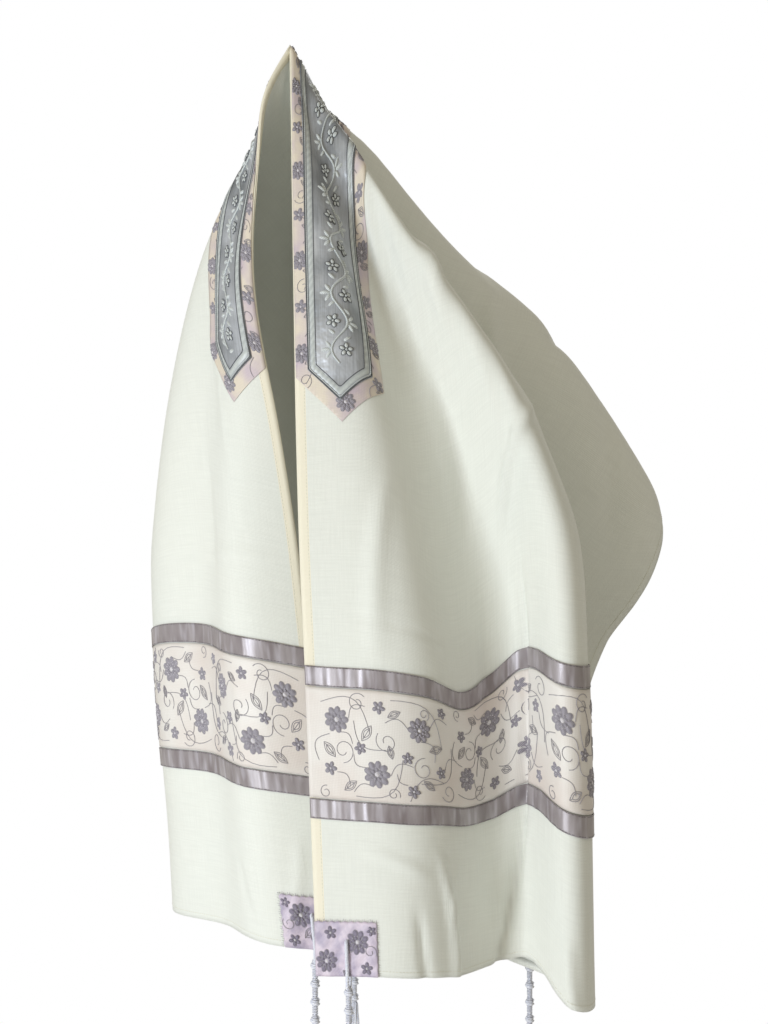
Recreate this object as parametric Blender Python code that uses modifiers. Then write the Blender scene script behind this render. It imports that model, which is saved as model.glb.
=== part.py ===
"""A tallit, the fringed prayer shawl, hung by the middle of its neck edge.

One rectangle of light wool falls from the nape as a tent of deep folds. Its two ends hang side by
side in front, each with a band of floral organza between two satin ribbons. A neckband runs over
the nape, and each corner has a patch and a knotted tassel.
Metres, +Z up, +X to the right of the front, +Y towards the back. The origin is the nape.
"""

import math

import bmesh
import bpy
import numpy as np
from mathutils import Vector

# Cut of the shawl: across is along the neck edge, down is from the neck edge to the far edge
SHAWL_LENGTH = 1.84
SHAWL_WIDTH = 0.60
CLOTH = 0.0016
TRIM = 0.0011
SEAM = 0.0004

# Bands of each end, measured up from its hem
RIBBON = 0.020
LOWER_RIBBON_RISE = 0.150
FLORAL_BAND = 0.107

# Neckband, measured from the nape and from the neck edge
NECK_BACKING_HALF = 0.392
NECK_BACKING_WIDTH = 0.094
NECK_SATIN_HALF = 0.372
NECK_SATIN_MARGIN = 0.013
NECK_SATIN_WIDTH = 0.066
NECK_EDGE_MARGIN = 0.0015

# Corner patches and tassels
PATCH_ACROSS = 0.066
PATCH_DOWN = 0.052
EYELET_INSET = 0.034
LOOP_CORD = 0.0031
LOOP_AT_HEM = 0.0015
LOOP_DROPS = (0.005, 0.011, 0.015)
TASSEL_HEAD_WIDTH = 0.0062
TASSEL_HEAD = 0.088
TASSEL_KNOTS = 5
KNOT_SWELL = 1.32
TASSEL_TAIL = 0.135
STRANDS = 8
STRAND_WIDTH = 0.0020
STRAND_ROOTS = 0.0029
STRAND_FLARE = 0.006
STRAND_WAVE = 0.0012
STRAND_STEPS = 6

HALF = SHAWL_LENGTH / 2
LOWER_RIBBON = HALF - LOWER_RIBBON_RISE - RIBBON
FLORAL = LOWER_RIBBON - FLORAL_BAND
UPPER_RIBBON = FLORAL - RIBBON

# The folds of the ring of cloth that lies one shawl width from the nape, seen from above.
# Each row is a turn of the ring, from the right front edge round the back to the left front edge.
FOLDS = (
    # name of the turn, to the right, towards the back
    ("right front edge", 0.012, -0.082),
    ("right front face", 0.120, -0.096),
    ("right front valley", 0.218, -0.016),
    ("right front lobe", 0.268, -0.094),
    ("lobe's side", 0.290, -0.044),
    ("hidden fold", 0.206, 0.022),
    ("behind the fold", 0.268, 0.088),
    ("right tip", 0.396, 0.104),
    ("right back", 0.350, 0.186),
    ("first back valley", 0.252, 0.174),
    ("first back crest", 0.186, 0.264),
    ("second back valley", 0.112, 0.190),
    ("second back crest", 0.036, 0.258),
    ("left back", -0.050, 0.178),
    ("left side", -0.144, 0.128),
    ("left lobe", -0.130, 0.056),
    ("left hollow", -0.090, 0.024),
    ("left front face", -0.046, -0.056),
    ("left front edge", 0.020, -0.062),
)

# How far the cloth has spread at each distance from the nape, as shares of the folded ring
SPREAD = (
    # distance from the nape, right, left, front, back
    (0.00, 0.000, 0.000, 0.000, 0.000),
    (0.06, 0.095, 0.150, 0.220, 0.120),
    (0.12, 0.205, 0.290, 0.400, 0.240),
    (0.25, 0.410, 0.620, 0.680, 0.500),
    (0.42, 0.745, 0.930, 0.900, 0.800),
    (0.52, 0.875, 0.985, 0.970, 0.920),
    (0.60, 0.960, 1.000, 1.000, 1.000),
    (0.75, 1.005, 0.960, 1.000, 1.010),
    (0.90, 1.020, 0.875, 0.985, 1.020),
    (1.15, 1.030, 0.830, 0.965, 1.030),
)

# The front edges open at the neck slot, and below the bands they lean to the right and cross
FRONT_EDGES = (
    # distance from the nape, the left edge to the left, the right edge to the right
    (0.00, 0.000, 0.000),
    (0.015, 0.012, 0.000),
    (0.03, 0.022, 0.000),
    (0.05, 0.027, 0.000),
    (0.08, 0.030, 0.000),
    (0.16, 0.040, 0.000),
    (0.23, 0.044, 0.000),
    (0.34, 0.032, 0.000),
    (0.43, 0.020, 0.000),
    (0.52, 0.008, 0.002),
    (0.62, -0.002, 0.006),
    (0.72, -0.014, 0.010),
    (0.82, -0.028, 0.014),
    (0.92, -0.040, 0.018),
    (1.15, -0.050, 0.024),
)
EDGE_SHARE = 0.16

# What small gathers at the nape take up of the cloth's length, by place round the ring
GATHERS = (
    # share of the ring from the right front edge, share of the length taken up
    (0.00, 0.00),
    (0.06, 0.00),
    (0.10, -0.05),
    (0.135, 0.00),
    (0.18, 0.12),
    (0.27, 0.07),
    (0.36, -0.085),
    (0.50, 0.05),
    (0.75, 0.05),
    (0.90, 0.15),
    (0.96, 0.078),
    (1.00, 0.022),
)
GATHERED_FULLY = 0.21
GATHERED_REACH = 0.63

# How far the right end stands over where it would hang, because its front valley draws it up
LIFTS = (
    # down from the neck edge, lift at the bands, lift at the hem
    (0.00, 0.002, 0.000),
    (0.06, -0.006, -0.002),
    (0.12, -0.012, -0.008),
    (0.17, -0.008, -0.010),
    (0.22, 0.014, 0.004),
    (0.265, 0.038, 0.026),
    (0.29, 0.034, 0.022),
    (0.34, 0.008, -0.004),
    (0.40, -0.008, -0.010),
    (0.46, -0.004, 0.000),
    (0.60, 0.000, 0.000),
)
LIFT_STARTS = 0.30
LIFTED_AT_BANDS = 0.66
LEFT_BY_BANDS = 0.70

# The fineness of the net that carries the drape, and how tightly it may fold
RING_STEPS = 1200
ANGLES = 481
LEVELS = 116
LONGEST_RAY = 1.15
STEEPEST = 0.30
SOFTENINGS = 5
PLAIN_BLUR = 0.15
TIGHTEST_BEND = 0.045
DEEPEST = 1.5
SIDE_BLEND = 0.06


def smooth(table, column, at):
    """Read one column of a table between its rows, on a smooth curve through them."""
    rows = np.array([[row[0], row[column]] for row in table])
    slopes = np.gradient(rows[:, 1], rows[:, 0])
    where = np.clip(np.asarray(at, float), rows[0, 0], rows[-1, 0])
    low = np.clip(np.searchsorted(rows[:, 0], where, side="right") - 1, 0, len(rows) - 2)
    span = rows[low + 1, 0] - rows[low, 0]
    t = (where - rows[low, 0]) / span
    start, end = rows[low, 1], rows[low + 1, 1]
    lift = (2 * t**3 - 3 * t**2 + 1) * start + (3 * t**2 - 2 * t**3) * end
    return lift + span * ((t**3 - 2 * t**2 + t) * slopes[low] + (t**3 - t**2) * slopes[low + 1])


def arc_lengths(points):
    """Distance along a row of points to each of them."""
    steps = np.linalg.norm(np.diff(points, axis=0), axis=1)
    return np.concatenate([[0.0], np.cumsum(steps)])


def resample(points, distances):
    """Points at the given distances along a row of points."""
    along = arc_lengths(points)
    return np.stack([np.interp(distances, along, points[:, k]) for k in range(2)], axis=1)


def folded_ring():
    """The ring of FOLDS as a smooth closed-in curve, evenly stepped along its length."""
    turns = np.array([row[1:] for row in FOLDS])
    along = arc_lengths(turns)
    fine = np.linspace(0, along[-1], RING_STEPS)
    tables = [list(zip(along, turns[:, k])) for k in range(2)]
    curve = np.stack([smooth(table, 1, fine) for table in tables], axis=1)
    return resample(curve, np.linspace(0, arc_lengths(curve)[-1], RING_STEPS))


def blurred_ring(folded, share):
    """The folded ring with its turns blurred over a share of its length."""
    reach = max(1, int(RING_STEPS * share))
    margin = min(reach, RING_STEPS - 1)
    padded = np.pad(folded, ((margin, margin), (0, 0)), mode="reflect", reflect_type="odd")
    weights = np.hanning(2 * reach + 1)
    weights /= weights.sum()
    blurred = np.stack([np.convolve(padded[:, k], weights, mode="same") for k in range(2)], axis=1)
    return blurred[margin:-margin]


def spread_at(distance, ring):
    """A ring of full size drawn in to its share at a distance from the nape."""
    right, left, front, back = (smooth(SPREAD, k, distance) for k in range(1, 5))
    toward_right = 0.5 + 0.5 * np.tanh(ring[:, 0] / SIDE_BLEND)
    toward_back = 0.5 + 0.5 * np.tanh(ring[:, 1] / SIDE_BLEND)
    across = ring[:, 0] * (left + (right - left) * toward_right)
    deep = ring[:, 1] * (front + (back - front) * toward_back)
    near_right = np.clip(1 - np.linspace(0, 1, len(ring)) / EDGE_SHARE, 0, 1) ** 2
    across += smooth(FRONT_EDGES, 2, distance) * near_right - smooth(FRONT_EDGES, 1, distance) * near_right[::-1]
    return np.stack([across, deep], axis=1)


def fold_depth(distance, folded, plain, wanted):
    """How deep the folds must be at a distance from the nape for the ring to take up all its cloth."""
    low, high = 0.0, DEEPEST
    for _ in range(30):
        depth = (low + high) / 2
        length = arc_lengths(spread_at(distance, plain + depth * (folded - plain)))[-1]
        low, high = (depth, high) if length < wanted else (low, depth)
    return depth


def net():
    """Where the cloth lies: a table of points by distance from the nape and angle round it."""
    folded = folded_ring()
    plain = blurred_ring(folded, PLAIN_BLUR)
    ease = arc_lengths(folded)[-1] / (math.pi * SHAWL_WIDTH)
    shares = np.linspace(0, 1, ANGLES)
    upper = [0.0]
    rings = [np.zeros((ANGLES, 2))]
    for distance in [row[0] for row in SPREAD if 0 < row[0] <= SHAWL_WIDTH]:
        softer = blurred_ring(folded, TIGHTEST_BEND / (math.pi * distance))
        depth = fold_depth(distance, softer, plain, ease * math.pi * distance)
        ring = spread_at(distance, plain + depth * (softer - plain))
        upper.append(distance)
        rings.append(resample(ring, shares * arc_lengths(ring)[-1]))
    full = plain + depth * (softer - plain)
    rings = np.array(rings)
    distances = np.linspace(0, LONGEST_RAY, LEVELS)
    plan = np.zeros((LEVELS, ANGLES, 2))
    for level, distance in enumerate(distances):
        if distance < SHAWL_WIDTH:
            plan[level] = between_rings(upper, rings, distance)
            continue
        ring = spread_at(distance, full)
        length = arc_lengths(ring)[-1]
        reach = ease * distance * math.pi * shares
        other = ease * distance * math.pi * (1 - shares)
        along = np.where(shares < 0.5, np.minimum(reach, length / 2), length - np.minimum(other, length / 2))
        plan[level] = resample(ring, along)
    plan = soften(plan)
    step = distances[1]
    sideways = np.linalg.norm(np.diff(plan, axis=0), axis=2)
    drops = np.sqrt(np.maximum(step**2 - sideways**2, (STEEPEST * step) ** 2))
    fading = (GATHERED_REACH - distances[1:]) / (GATHERED_REACH - GATHERED_FULLY)
    gathered = np.clip(fading, 0, 1)
    drops *= 1 - gathered[:, None] * smooth(GATHERS, 1, shares)[None, :]
    heights = np.concatenate([np.zeros((1, ANGLES)), -np.cumsum(drops, axis=0)])
    return lifted(np.concatenate([plan, heights[:, :, None]], axis=2), distances, shares)


def between_rings(distances, rings, distance):
    """The ring at a distance from the nape, on smooth rays through the rings worked out so far."""
    slopes = np.gradient(rings, distances, axis=0)
    low = min(np.searchsorted(distances, distance, side="right") - 1, len(distances) - 2)
    span = distances[low + 1] - distances[low]
    t = (distance - distances[low]) / span
    place = (2 * t**3 - 3 * t**2 + 1) * rings[low] + (3 * t**2 - 2 * t**3) * rings[low + 1]
    pull = (t**3 - 2 * t**2 + t) * slopes[low] + (t**3 - t**2) * slopes[low + 1]
    return place + span * pull


def smoothstep(low, high, at):
    """A smooth rise from 0 at low to 1 at high."""
    t = np.clip((at - low) / (high - low), 0, 1)
    return t**2 * (3 - 2 * t)


def lifted(table, distances, shares):
    """The net with its right end lifted, as LIFTS says."""
    across = distances[:, None] * np.cos(math.pi * shares)[None, :]
    down = distances[:, None] * np.sin(math.pi * shares)[None, :]
    toward_hem = smoothstep(LEFT_BY_BANDS, HALF, across)
    at_bands = smoothstep(LIFT_STARTS, LIFTED_AT_BANDS, across) * (1 - toward_hem)
    table[:, :, 2] += smooth(LIFTS, 1, down) * at_bands + smooth(LIFTS, 2, down) * toward_hem
    return table


def soften(plan):
    """Even out the rays, so that no fold starts with a kink."""
    for _ in range(SOFTENINGS):
        plan[1:-1] = (plan[:-2] + 2 * plan[1:-1] + plan[2:]) / 4
        plan[:, 1:-1] = (plan[:, :-2] + 2 * plan[:, 1:-1] + plan[:, 2:]) / 4
    return plan


def on_net(table, across, down):
    """The draped place of a point of the flat cloth, across from the nape and down from the neck edge."""
    level = math.hypot(across, down) / LONGEST_RAY * (LEVELS - 1)
    angle = (math.pi / 2 - math.atan2(across, down)) / math.pi * (ANGLES - 1)
    i, j = min(int(level), LEVELS - 2), min(int(angle), ANGLES - 2)
    a, b = level - i, angle - j
    near = table[i, j] * (1 - b) + table[i, j + 1] * b
    far = table[i + 1, j] * (1 - b) + table[i + 1, j + 1] * b
    return near * (1 - a) + far * a


def steps(start, end, size):
    """Evenly spaced lines from start up to, but without, end, no further apart than size."""
    count = max(1, math.ceil((end - start) / size - 1e-6))
    return [start + (end - start) * k / count for k in range(count)]


def lines_across():
    """The flat cloth's lines across, one at each seam, on both sides of the nape."""
    right = steps(0.0, 0.030, 0.010) + steps(0.030, 0.400, 0.0265) + steps(0.400, UPPER_RIBBON, 0.031)
    right += [UPPER_RIBBON] + steps(FLORAL, LOWER_RIBBON, 0.037) + [LOWER_RIBBON]
    right += steps(LOWER_RIBBON + RIBBON, HALF - PATCH_DOWN, 0.038)
    right += steps(HALF - PATCH_DOWN, HALF, 0.026) + [HALF]
    return [-x for x in reversed(right[1:])] + right


def lines_down():
    """The flat cloth's lines down, one at each seam, from the neck edge to the far edge."""
    inner = NECK_EDGE_MARGIN + NECK_SATIN_MARGIN
    outer = inner + NECK_SATIN_WIDTH
    lines = [0.0, NECK_EDGE_MARGIN, inner, (inner + outer) / 2, outer]
    lines += steps(NECK_EDGE_MARGIN + NECK_BACKING_WIDTH, SHAWL_WIDTH - PATCH_ACROSS, 0.028)
    return lines + steps(SHAWL_WIDTH - PATCH_ACROSS, SHAWL_WIDTH, 0.033) + [SHAWL_WIDTH]


def flat_cloth(lines_x, lines_y):
    """Flat cloth in its own plane, ruled into triangles along the given lines."""
    mesh = bmesh.new()
    rows = [[mesh.verts.new((x, y, 0)) for x in lines_x] for y in lines_y]
    for low, high in zip(rows, rows[1:]):
        for k in range(len(lines_x) - 1):
            mesh.faces.new((low[k], low[k + 1], high[k + 1]))
            mesh.faces.new((low[k], high[k + 1], high[k]))
    return mesh


class Drape:
    """The draped cloth: places and outward directions at the crossings of its flat lines."""

    def __init__(self):
        self.across, self.down = lines_across(), lines_down()
        table = net()
        flat = flat_cloth(self.across, self.down)
        for vert in flat.verts:
            vert.co = Vector(on_net(table, vert.co.x, vert.co.y))
        flat.normal_update()
        shape = (len(self.down), len(self.across), 3)
        flat.verts.index_update()
        self.places = np.array([v.co for v in flat.verts]).reshape(shape)
        self.outward = np.array([v.normal for v in flat.verts]).reshape(shape)
        flat.free()

    def at(self, across, down, out):
        """A point of the cloth's own facets, moved out along them."""
        i = min(max(np.searchsorted(self.down, down) - 1, 0), len(self.down) - 2)
        j = min(max(np.searchsorted(self.across, across) - 1, 0), len(self.across) - 2)
        b = (down - self.down[i]) / (self.down[i + 1] - self.down[i])
        a = (across - self.across[j]) / (self.across[j + 1] - self.across[j])
        if a > b:
            shares = ((i, j, 1 - a), (i, j + 1, a - b), (i + 1, j + 1, b))
        else:
            shares = ((i, j, 1 - b), (i + 1, j + 1, a), (i + 1, j, b - a))
        return Vector(sum(w * (self.places[r, c] + out * self.outward[r, c]) for r, c, w in shares))


def material(name, colour, roughness, metallic=0.0):
    """One finish: colour, roughness and metallic value."""
    made = bpy.data.materials.new(name)
    made.use_nodes = True
    shader = made.node_tree.nodes["Principled BSDF"]
    shader.inputs["Base Color"].default_value = (*colour, 1)
    shader.inputs["Roughness"].default_value = roughness
    shader.inputs["Metallic"].default_value = metallic
    return made


def add_object(name, mesh, finish, collection):
    """Put a bmesh into the scene as a named object with its material."""
    data = bpy.data.meshes.new(name)
    mesh.to_mesh(data)
    mesh.free()
    data.materials.append(finish)
    made = bpy.data.objects.new(name, data)
    collection.objects.link(made)
    return made


def cut(mesh, point, direction):
    """Cut flat cloth along a straight line and drop the side that direction points to."""
    everything = mesh.verts[:] + mesh.edges[:] + mesh.faces[:]
    bmesh.ops.bisect_plane(
        mesh, geom=everything, plane_co=point, plane_no=direction, clear_outer=True, dist=1e-6
    )


def sewn_piece(drape, name, x_range, y_range, out, thick, finish, collection, corners=()):
    """A piece cut flat on the cloth's own lines, carried to the drape and given its thickness."""
    xs = [x for x in drape.across if x_range[0] - 1e-6 < x < x_range[1] + 1e-6]
    ys = [y for y in drape.down if y_range[0] - 1e-6 < y < y_range[1] + 1e-6]
    flat = flat_cloth(xs, ys)
    for point, direction in corners:
        cut(flat, point, direction)
    bmesh.ops.triangulate(flat, faces=flat.faces[:])
    for vert in flat.verts:
        vert.co = drape.at(vert.co.x, vert.co.y, out)
    made = add_object(name, flat, finish, collection)
    wall = made.modifiers.new("Wall", "SOLIDIFY")
    wall.thickness = thick
    wall.offset = 0 if out == 0 else 1
    return made


def tube(name, points, radii, sides_step, finish, collection):
    """A closed tube through points, with a radius at each, as a mesh object."""
    curve = bpy.data.curves.new(name, "CURVE")
    curve.dimensions = "3D"
    curve.bevel_depth = 1.0
    curve.bevel_resolution = sides_step
    curve.use_fill_caps = True
    spline = curve.splines.new("POLY")
    spline.points.add(len(points) - 1)
    for node, point, radius in zip(spline.points, points, radii):
        node.co = (*point, 1)
        node.radius = radius
    drawn = bpy.data.objects.new(name, curve)
    collection.objects.link(drawn)
    bpy.context.view_layer.update()
    evaluated = drawn.evaluated_get(bpy.context.evaluated_depsgraph_get())
    mesh = bmesh.new()
    mesh.from_mesh(bpy.data.meshes.new_from_object(evaluated))
    bpy.data.objects.remove(drawn, do_unlink=True)
    bmesh.ops.remove_doubles(mesh, verts=mesh.verts[:], dist=1e-6)
    bmesh.ops.recalc_face_normals(mesh, faces=mesh.faces[:])
    return add_object(name, mesh, finish, collection)


def pointed_ends(half, low, high):
    """The four slanting cuts that point both ends of a neckband strip."""
    middle = (low + high) / 2
    corners = []
    for side in (-1, 1):
        for edge in (low, high):
            slant = Vector((side, 1.0 if edge > middle else -1.0, 0))
            corners.append((Vector((side * half, middle, 0)), slant))
    return corners


def build_cloth(drape, finishes, collection):
    """The shawl itself: one rectangle of wool, neck edge to far edge, end to end."""
    cloth = sewn_piece(
        drape, "shawl_cloth", (-HALF, HALF), (0, SHAWL_WIDTH), 0, CLOTH, finishes["wool"], collection
    )
    cloth.data.shade_smooth()


def build_bands(drape, finishes, collection):
    """The ribbon, floral band and ribbon that are sewn across each end."""
    on_cloth = CLOTH / 2 + SEAM
    strips = (
        ("upper_ribbon", UPPER_RIBBON, FLORAL, "ribbon"),
        ("floral_band", FLORAL, LOWER_RIBBON, "organza"),
        ("lower_ribbon", LOWER_RIBBON, LOWER_RIBBON + RIBBON, "ribbon"),
    )
    for side, word in ((-1, "left"), (1, "right")):
        for name, start, end, finish in strips:
            x_range = sorted((side * start, side * end))
            piece = sewn_piece(
                drape, f"{word}_{name}", x_range, (0, SHAWL_WIDTH), on_cloth, TRIM,
                finishes[finish], collection,
            )
            part_seam(piece, drape, x_range, on_cloth)


def part_seam(piece, drape, x_range, out):
    """Draw a strip's two long edges in by half a seam, so that strips side by side stay apart."""
    middle = sum(x_range) / 2
    for x in x_range:
        for y in drape.down:
            edge = drape.at(x, y, out)
            inward = (drape.at(middle, y, out) - edge).normalized() * SEAM
            for vert in piece.data.vertices:
                if (vert.co - edge).length < SEAM / 4:
                    vert.co = edge + inward
                    break


def build_neckband(drape, finishes, collection):
    """The organza backing over the nape, and the pointed satin strip on it."""
    low, high = NECK_EDGE_MARGIN, NECK_EDGE_MARGIN + NECK_BACKING_WIDTH
    on_cloth = CLOTH / 2 + SEAM
    sewn_piece(
        drape, "neckband_backing", (-HALF / 2, HALF / 2), (low, high), on_cloth, TRIM,
        finishes["organza"], collection, pointed_ends(NECK_BACKING_HALF, low, high),
    )
    low, high = low + NECK_SATIN_MARGIN, low + NECK_SATIN_MARGIN + NECK_SATIN_WIDTH
    sewn_piece(
        drape, "neckband_satin", (-HALF / 2, HALF / 2), (low, high), on_cloth + TRIM + SEAM, TRIM,
        finishes["satin"], collection, pointed_ends(NECK_SATIN_HALF, low, high),
    )


def build_patches(drape, finishes, collection):
    """The lavender patch at each corner, which the tassel is threaded through."""
    on_cloth = CLOTH / 2 + SEAM
    for side, word in ((-1, "left"), (1, "right")):
        x_range = sorted((side * (HALF - PATCH_DOWN), side * HALF))
        inner = min(drape.down, key=lambda y: abs(y - PATCH_ACROSS))
        for place, y_range in (("front", (0, inner)), ("far", (SHAWL_WIDTH - PATCH_ACROSS, SHAWL_WIDTH))):
            sewn_piece(
                drape, f"{word}_{place}_patch", x_range, y_range, on_cloth, TRIM,
                finishes["patch"], collection,
            )


def tassel_loop(drape, side, eyelet_down):
    """The cord from the eyelet down the face, round the hem and up the back to the eyelet again."""
    radius = LOOP_CORD / 2
    front = CLOTH / 2 + TRIM + 2 * SEAM + radius
    back = -(CLOTH / 2 + SEAM + radius)
    rises = (EYELET_INSET, EYELET_INSET / 2, LOOP_AT_HEM)
    face = [drape.at(side * (HALF - rise), eyelet_down, front) for rise in rises]
    inside = [drape.at(side * (HALF - rise), eyelet_down, back) for rise in reversed(rises)]
    near, far, lowest = LOOP_DROPS
    below = [face[-1] - Vector((0, 0, drop)) for drop in (near, far)]
    behind = [inside[0] - Vector((0, 0, drop)) for drop in (far, near)]
    turn = (face[-1] + inside[0]) / 2 - Vector((0, 0, lowest))
    return face + below + [turn] + behind + inside, (below[-1] + behind[0]) / 2


def tassel_strand(root, turn, length, wave):
    """The line of one free strand, flaring from its root and waving a little as it falls."""
    out = Vector((math.cos(turn), math.sin(turn), 0))
    shares = [step / STRAND_STEPS for step in range(STRAND_STEPS + 1)]
    spreads = [STRAND_ROOTS + (STRAND_FLARE + STRAND_WAVE * math.sin(4 * s + wave)) * s for s in shares]
    return [root + out * spread - Vector((0, 0, length * s)) for spread, s in zip(spreads, shares)]


def build_tassel(drape, name, side, eyelet_down, finish, collection, cutters):
    """One tassel: its loop through the patch, five knots between windings, and eight free strands."""
    points, top = tassel_loop(drape, side, eyelet_down)
    loop = tube(f"{name}_loop", points, [LOOP_CORD / 2] * len(points), 0, finish, cutters)
    rings = 3 * TASSEL_KNOTS
    axis = [top - Vector((0, 0, TASSEL_HEAD * k / rings)) for k in range(rings + 1)]
    widths = [TASSEL_HEAD_WIDTH * (KNOT_SWELL if k % 3 == 1 else 1.0) for k in range(rings + 1)]
    head = tube(name, axis, [width / 2 for width in widths], 1, finish, collection)
    strands = bmesh.new()
    for k in range(STRANDS):
        length = TASSEL_TAIL * (0.90 + 0.10 * math.sin(2.7 * k + side))
        path = tassel_strand(axis[-2], 2 * math.pi * (k + 0.5) / STRANDS, length, 1.9 * k)
        strand = tube("strand", path, [STRAND_WIDTH / 2] * len(path), 0, finish, cutters)
        strands.from_mesh(strand.data)
        bpy.data.objects.remove(strand, do_unlink=True)
    tail = add_object(f"{name}_tail", strands, finish, cutters)
    for cutter in (loop, tail):
        cutter.hide_render = True
        cutter.display_type = "WIRE"
        joined = head.modifiers.new("Join", "BOOLEAN")
        joined.operation = "UNION"
        joined.object = cutter


def build_tassels(drape, finishes, collection, cutters):
    """A tassel at each of the four corners."""
    for side, word in ((-1, "left"), (1, "right")):
        for place, down in (("front", EYELET_INSET), ("far", SHAWL_WIDTH - EYELET_INSET)):
            name = f"{word}_{place}_tassel"
            build_tassel(drape, name, side, down, finishes["thread"], collection, cutters)


def main():
    for old in list(bpy.data.objects):
        bpy.data.objects.remove(old, do_unlink=True)
    collection = bpy.data.collections.new("tallit_prayer_shawl")
    cutters = bpy.data.collections.new("cutters")
    for made in (collection, cutters):
        bpy.context.scene.collection.children.link(made)
    finishes = {
        "wool": material("ivory_wool", (0.86, 0.86, 0.76), 0.85),
        "ribbon": material("mauve_ribbon", (0.36, 0.31, 0.35), 0.38),
        "organza": material("floral_organza", (0.78, 0.72, 0.70), 0.70),
        "satin": material("silver_satin", (0.42, 0.45, 0.48), 0.36),
        "patch": material("lavender_organza", (0.58, 0.48, 0.58), 0.65),
        "thread": material("white_thread", (0.80, 0.80, 0.88), 0.80),
    }
    drape = Drape()
    build_cloth(drape, finishes, collection)
    build_bands(drape, finishes, collection)
    build_neckband(drape, finishes, collection)
    build_patches(drape, finishes, collection)
    build_tassels(drape, finishes, collection, cutters)


main()
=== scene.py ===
"""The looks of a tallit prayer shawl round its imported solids. Metres, +Z up, the nape at the origin."""

import math

import bmesh
import bpy
import numpy as np
from mathutils import Matrix, Vector


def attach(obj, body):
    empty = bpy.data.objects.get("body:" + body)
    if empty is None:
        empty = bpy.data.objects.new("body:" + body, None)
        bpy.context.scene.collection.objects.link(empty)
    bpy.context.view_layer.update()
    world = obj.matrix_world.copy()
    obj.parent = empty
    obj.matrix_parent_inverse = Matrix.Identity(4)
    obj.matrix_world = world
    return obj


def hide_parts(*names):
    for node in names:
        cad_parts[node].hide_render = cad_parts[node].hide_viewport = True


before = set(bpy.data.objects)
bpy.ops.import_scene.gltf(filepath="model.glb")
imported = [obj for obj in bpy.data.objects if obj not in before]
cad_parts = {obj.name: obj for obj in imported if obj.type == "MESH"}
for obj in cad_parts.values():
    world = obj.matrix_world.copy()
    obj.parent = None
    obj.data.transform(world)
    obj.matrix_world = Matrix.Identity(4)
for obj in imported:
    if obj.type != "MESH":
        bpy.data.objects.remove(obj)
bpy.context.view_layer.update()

# The wool shawl. One rectangle of light worsted wool hangs from the middle of its neck edge, so its
# two ends fall side by side in front and its width falls over the back in deep folds. The drape is
# the one of its solid: rings of cloth round the nape, folded until they take up all their length.
SHAWL_LENGTH = 1.84
SHAWL_WIDTH = 0.60
HALF = SHAWL_LENGTH / 2
CLOTH = 0.0014
CLOTH_STEP = 0.005

FOLDS = (
    # name of the turn, to the right, towards the back
    ("right front edge", 0.012, -0.082),
    ("right front face", 0.120, -0.096),
    ("right front valley", 0.218, -0.016),
    ("right front lobe", 0.268, -0.094),
    ("lobe's side", 0.290, -0.044),
    ("hidden fold", 0.206, 0.022),
    ("behind the fold", 0.268, 0.088),
    ("right tip", 0.396, 0.104),
    ("right back", 0.350, 0.186),
    ("first back valley", 0.252, 0.174),
    ("first back crest", 0.186, 0.264),
    ("second back valley", 0.112, 0.190),
    ("second back crest", 0.036, 0.258),
    ("left back", -0.050, 0.178),
    ("left side", -0.144, 0.128),
    ("left lobe", -0.130, 0.056),
    ("left hollow", -0.090, 0.024),
    ("left front face", -0.046, -0.056),
    ("left front edge", 0.020, -0.062),
)
SPREAD = (
    # distance from the nape, right, left, front, back
    (0.00, 0.000, 0.000, 0.000, 0.000),
    (0.06, 0.095, 0.150, 0.220, 0.120),
    (0.12, 0.205, 0.290, 0.400, 0.240),
    (0.25, 0.410, 0.620, 0.680, 0.500),
    (0.42, 0.745, 0.930, 0.900, 0.800),
    (0.52, 0.875, 0.985, 0.970, 0.920),
    (0.60, 0.960, 1.000, 1.000, 1.000),
    (0.75, 1.005, 0.960, 1.000, 1.010),
    (0.90, 1.020, 0.875, 0.985, 1.020),
    (1.15, 1.030, 0.830, 0.965, 1.030),
)
FRONT_EDGES = (
    # distance from the nape, the left front edge to the left, the right one to the right
    (0.00, 0.000, 0.000),
    (0.015, 0.012, 0.000),
    (0.03, 0.022, 0.000),
    (0.05, 0.027, 0.000),
    (0.08, 0.030, 0.000),
    (0.16, 0.040, 0.000),
    (0.23, 0.044, 0.000),
    (0.34, 0.032, 0.000),
    (0.43, 0.020, 0.000),
    (0.52, 0.008, 0.002),
    (0.62, -0.002, 0.006),
    (0.72, -0.014, 0.010),
    (0.82, -0.028, 0.014),
    (0.92, -0.040, 0.018),
    (1.15, -0.050, 0.024),
)
GATHERS = (
    # share of the ring from the right front edge, share of the length taken up at the nape
    (0.00, 0.00),
    (0.06, 0.00),
    (0.10, -0.05),
    (0.135, 0.00),
    (0.18, 0.12),
    (0.27, 0.07),
    (0.36, -0.085),
    (0.50, 0.05),
    (0.75, 0.05),
    (0.90, 0.15),
    (0.96, 0.078),
    (1.00, 0.022),
)
EDGE_SHARE = 0.16
GATHERED_FULLY = 0.21
GATHERED_REACH = 0.63
LIFTS = (
    # down from the neck edge, lift at the bands, lift at the hem
    (0.00, 0.002, 0.000),
    (0.06, -0.006, -0.002),
    (0.12, -0.012, -0.008),
    (0.17, -0.008, -0.010),
    (0.22, 0.014, 0.004),
    (0.265, 0.038, 0.026),
    (0.29, 0.034, 0.022),
    (0.34, 0.008, -0.004),
    (0.40, -0.008, -0.010),
    (0.46, -0.004, 0.000),
    (0.60, 0.000, 0.000),
)
LIFT_STARTS = 0.30
LIFTED_AT_BANDS = 0.66
LEFT_BY_BANDS = 0.70
RING_STEPS = 1200
ANGLES = 481
LEVELS = 116
LONGEST_RAY = 1.15
STEEPEST = 0.30
SOFTENINGS = 5
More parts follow.
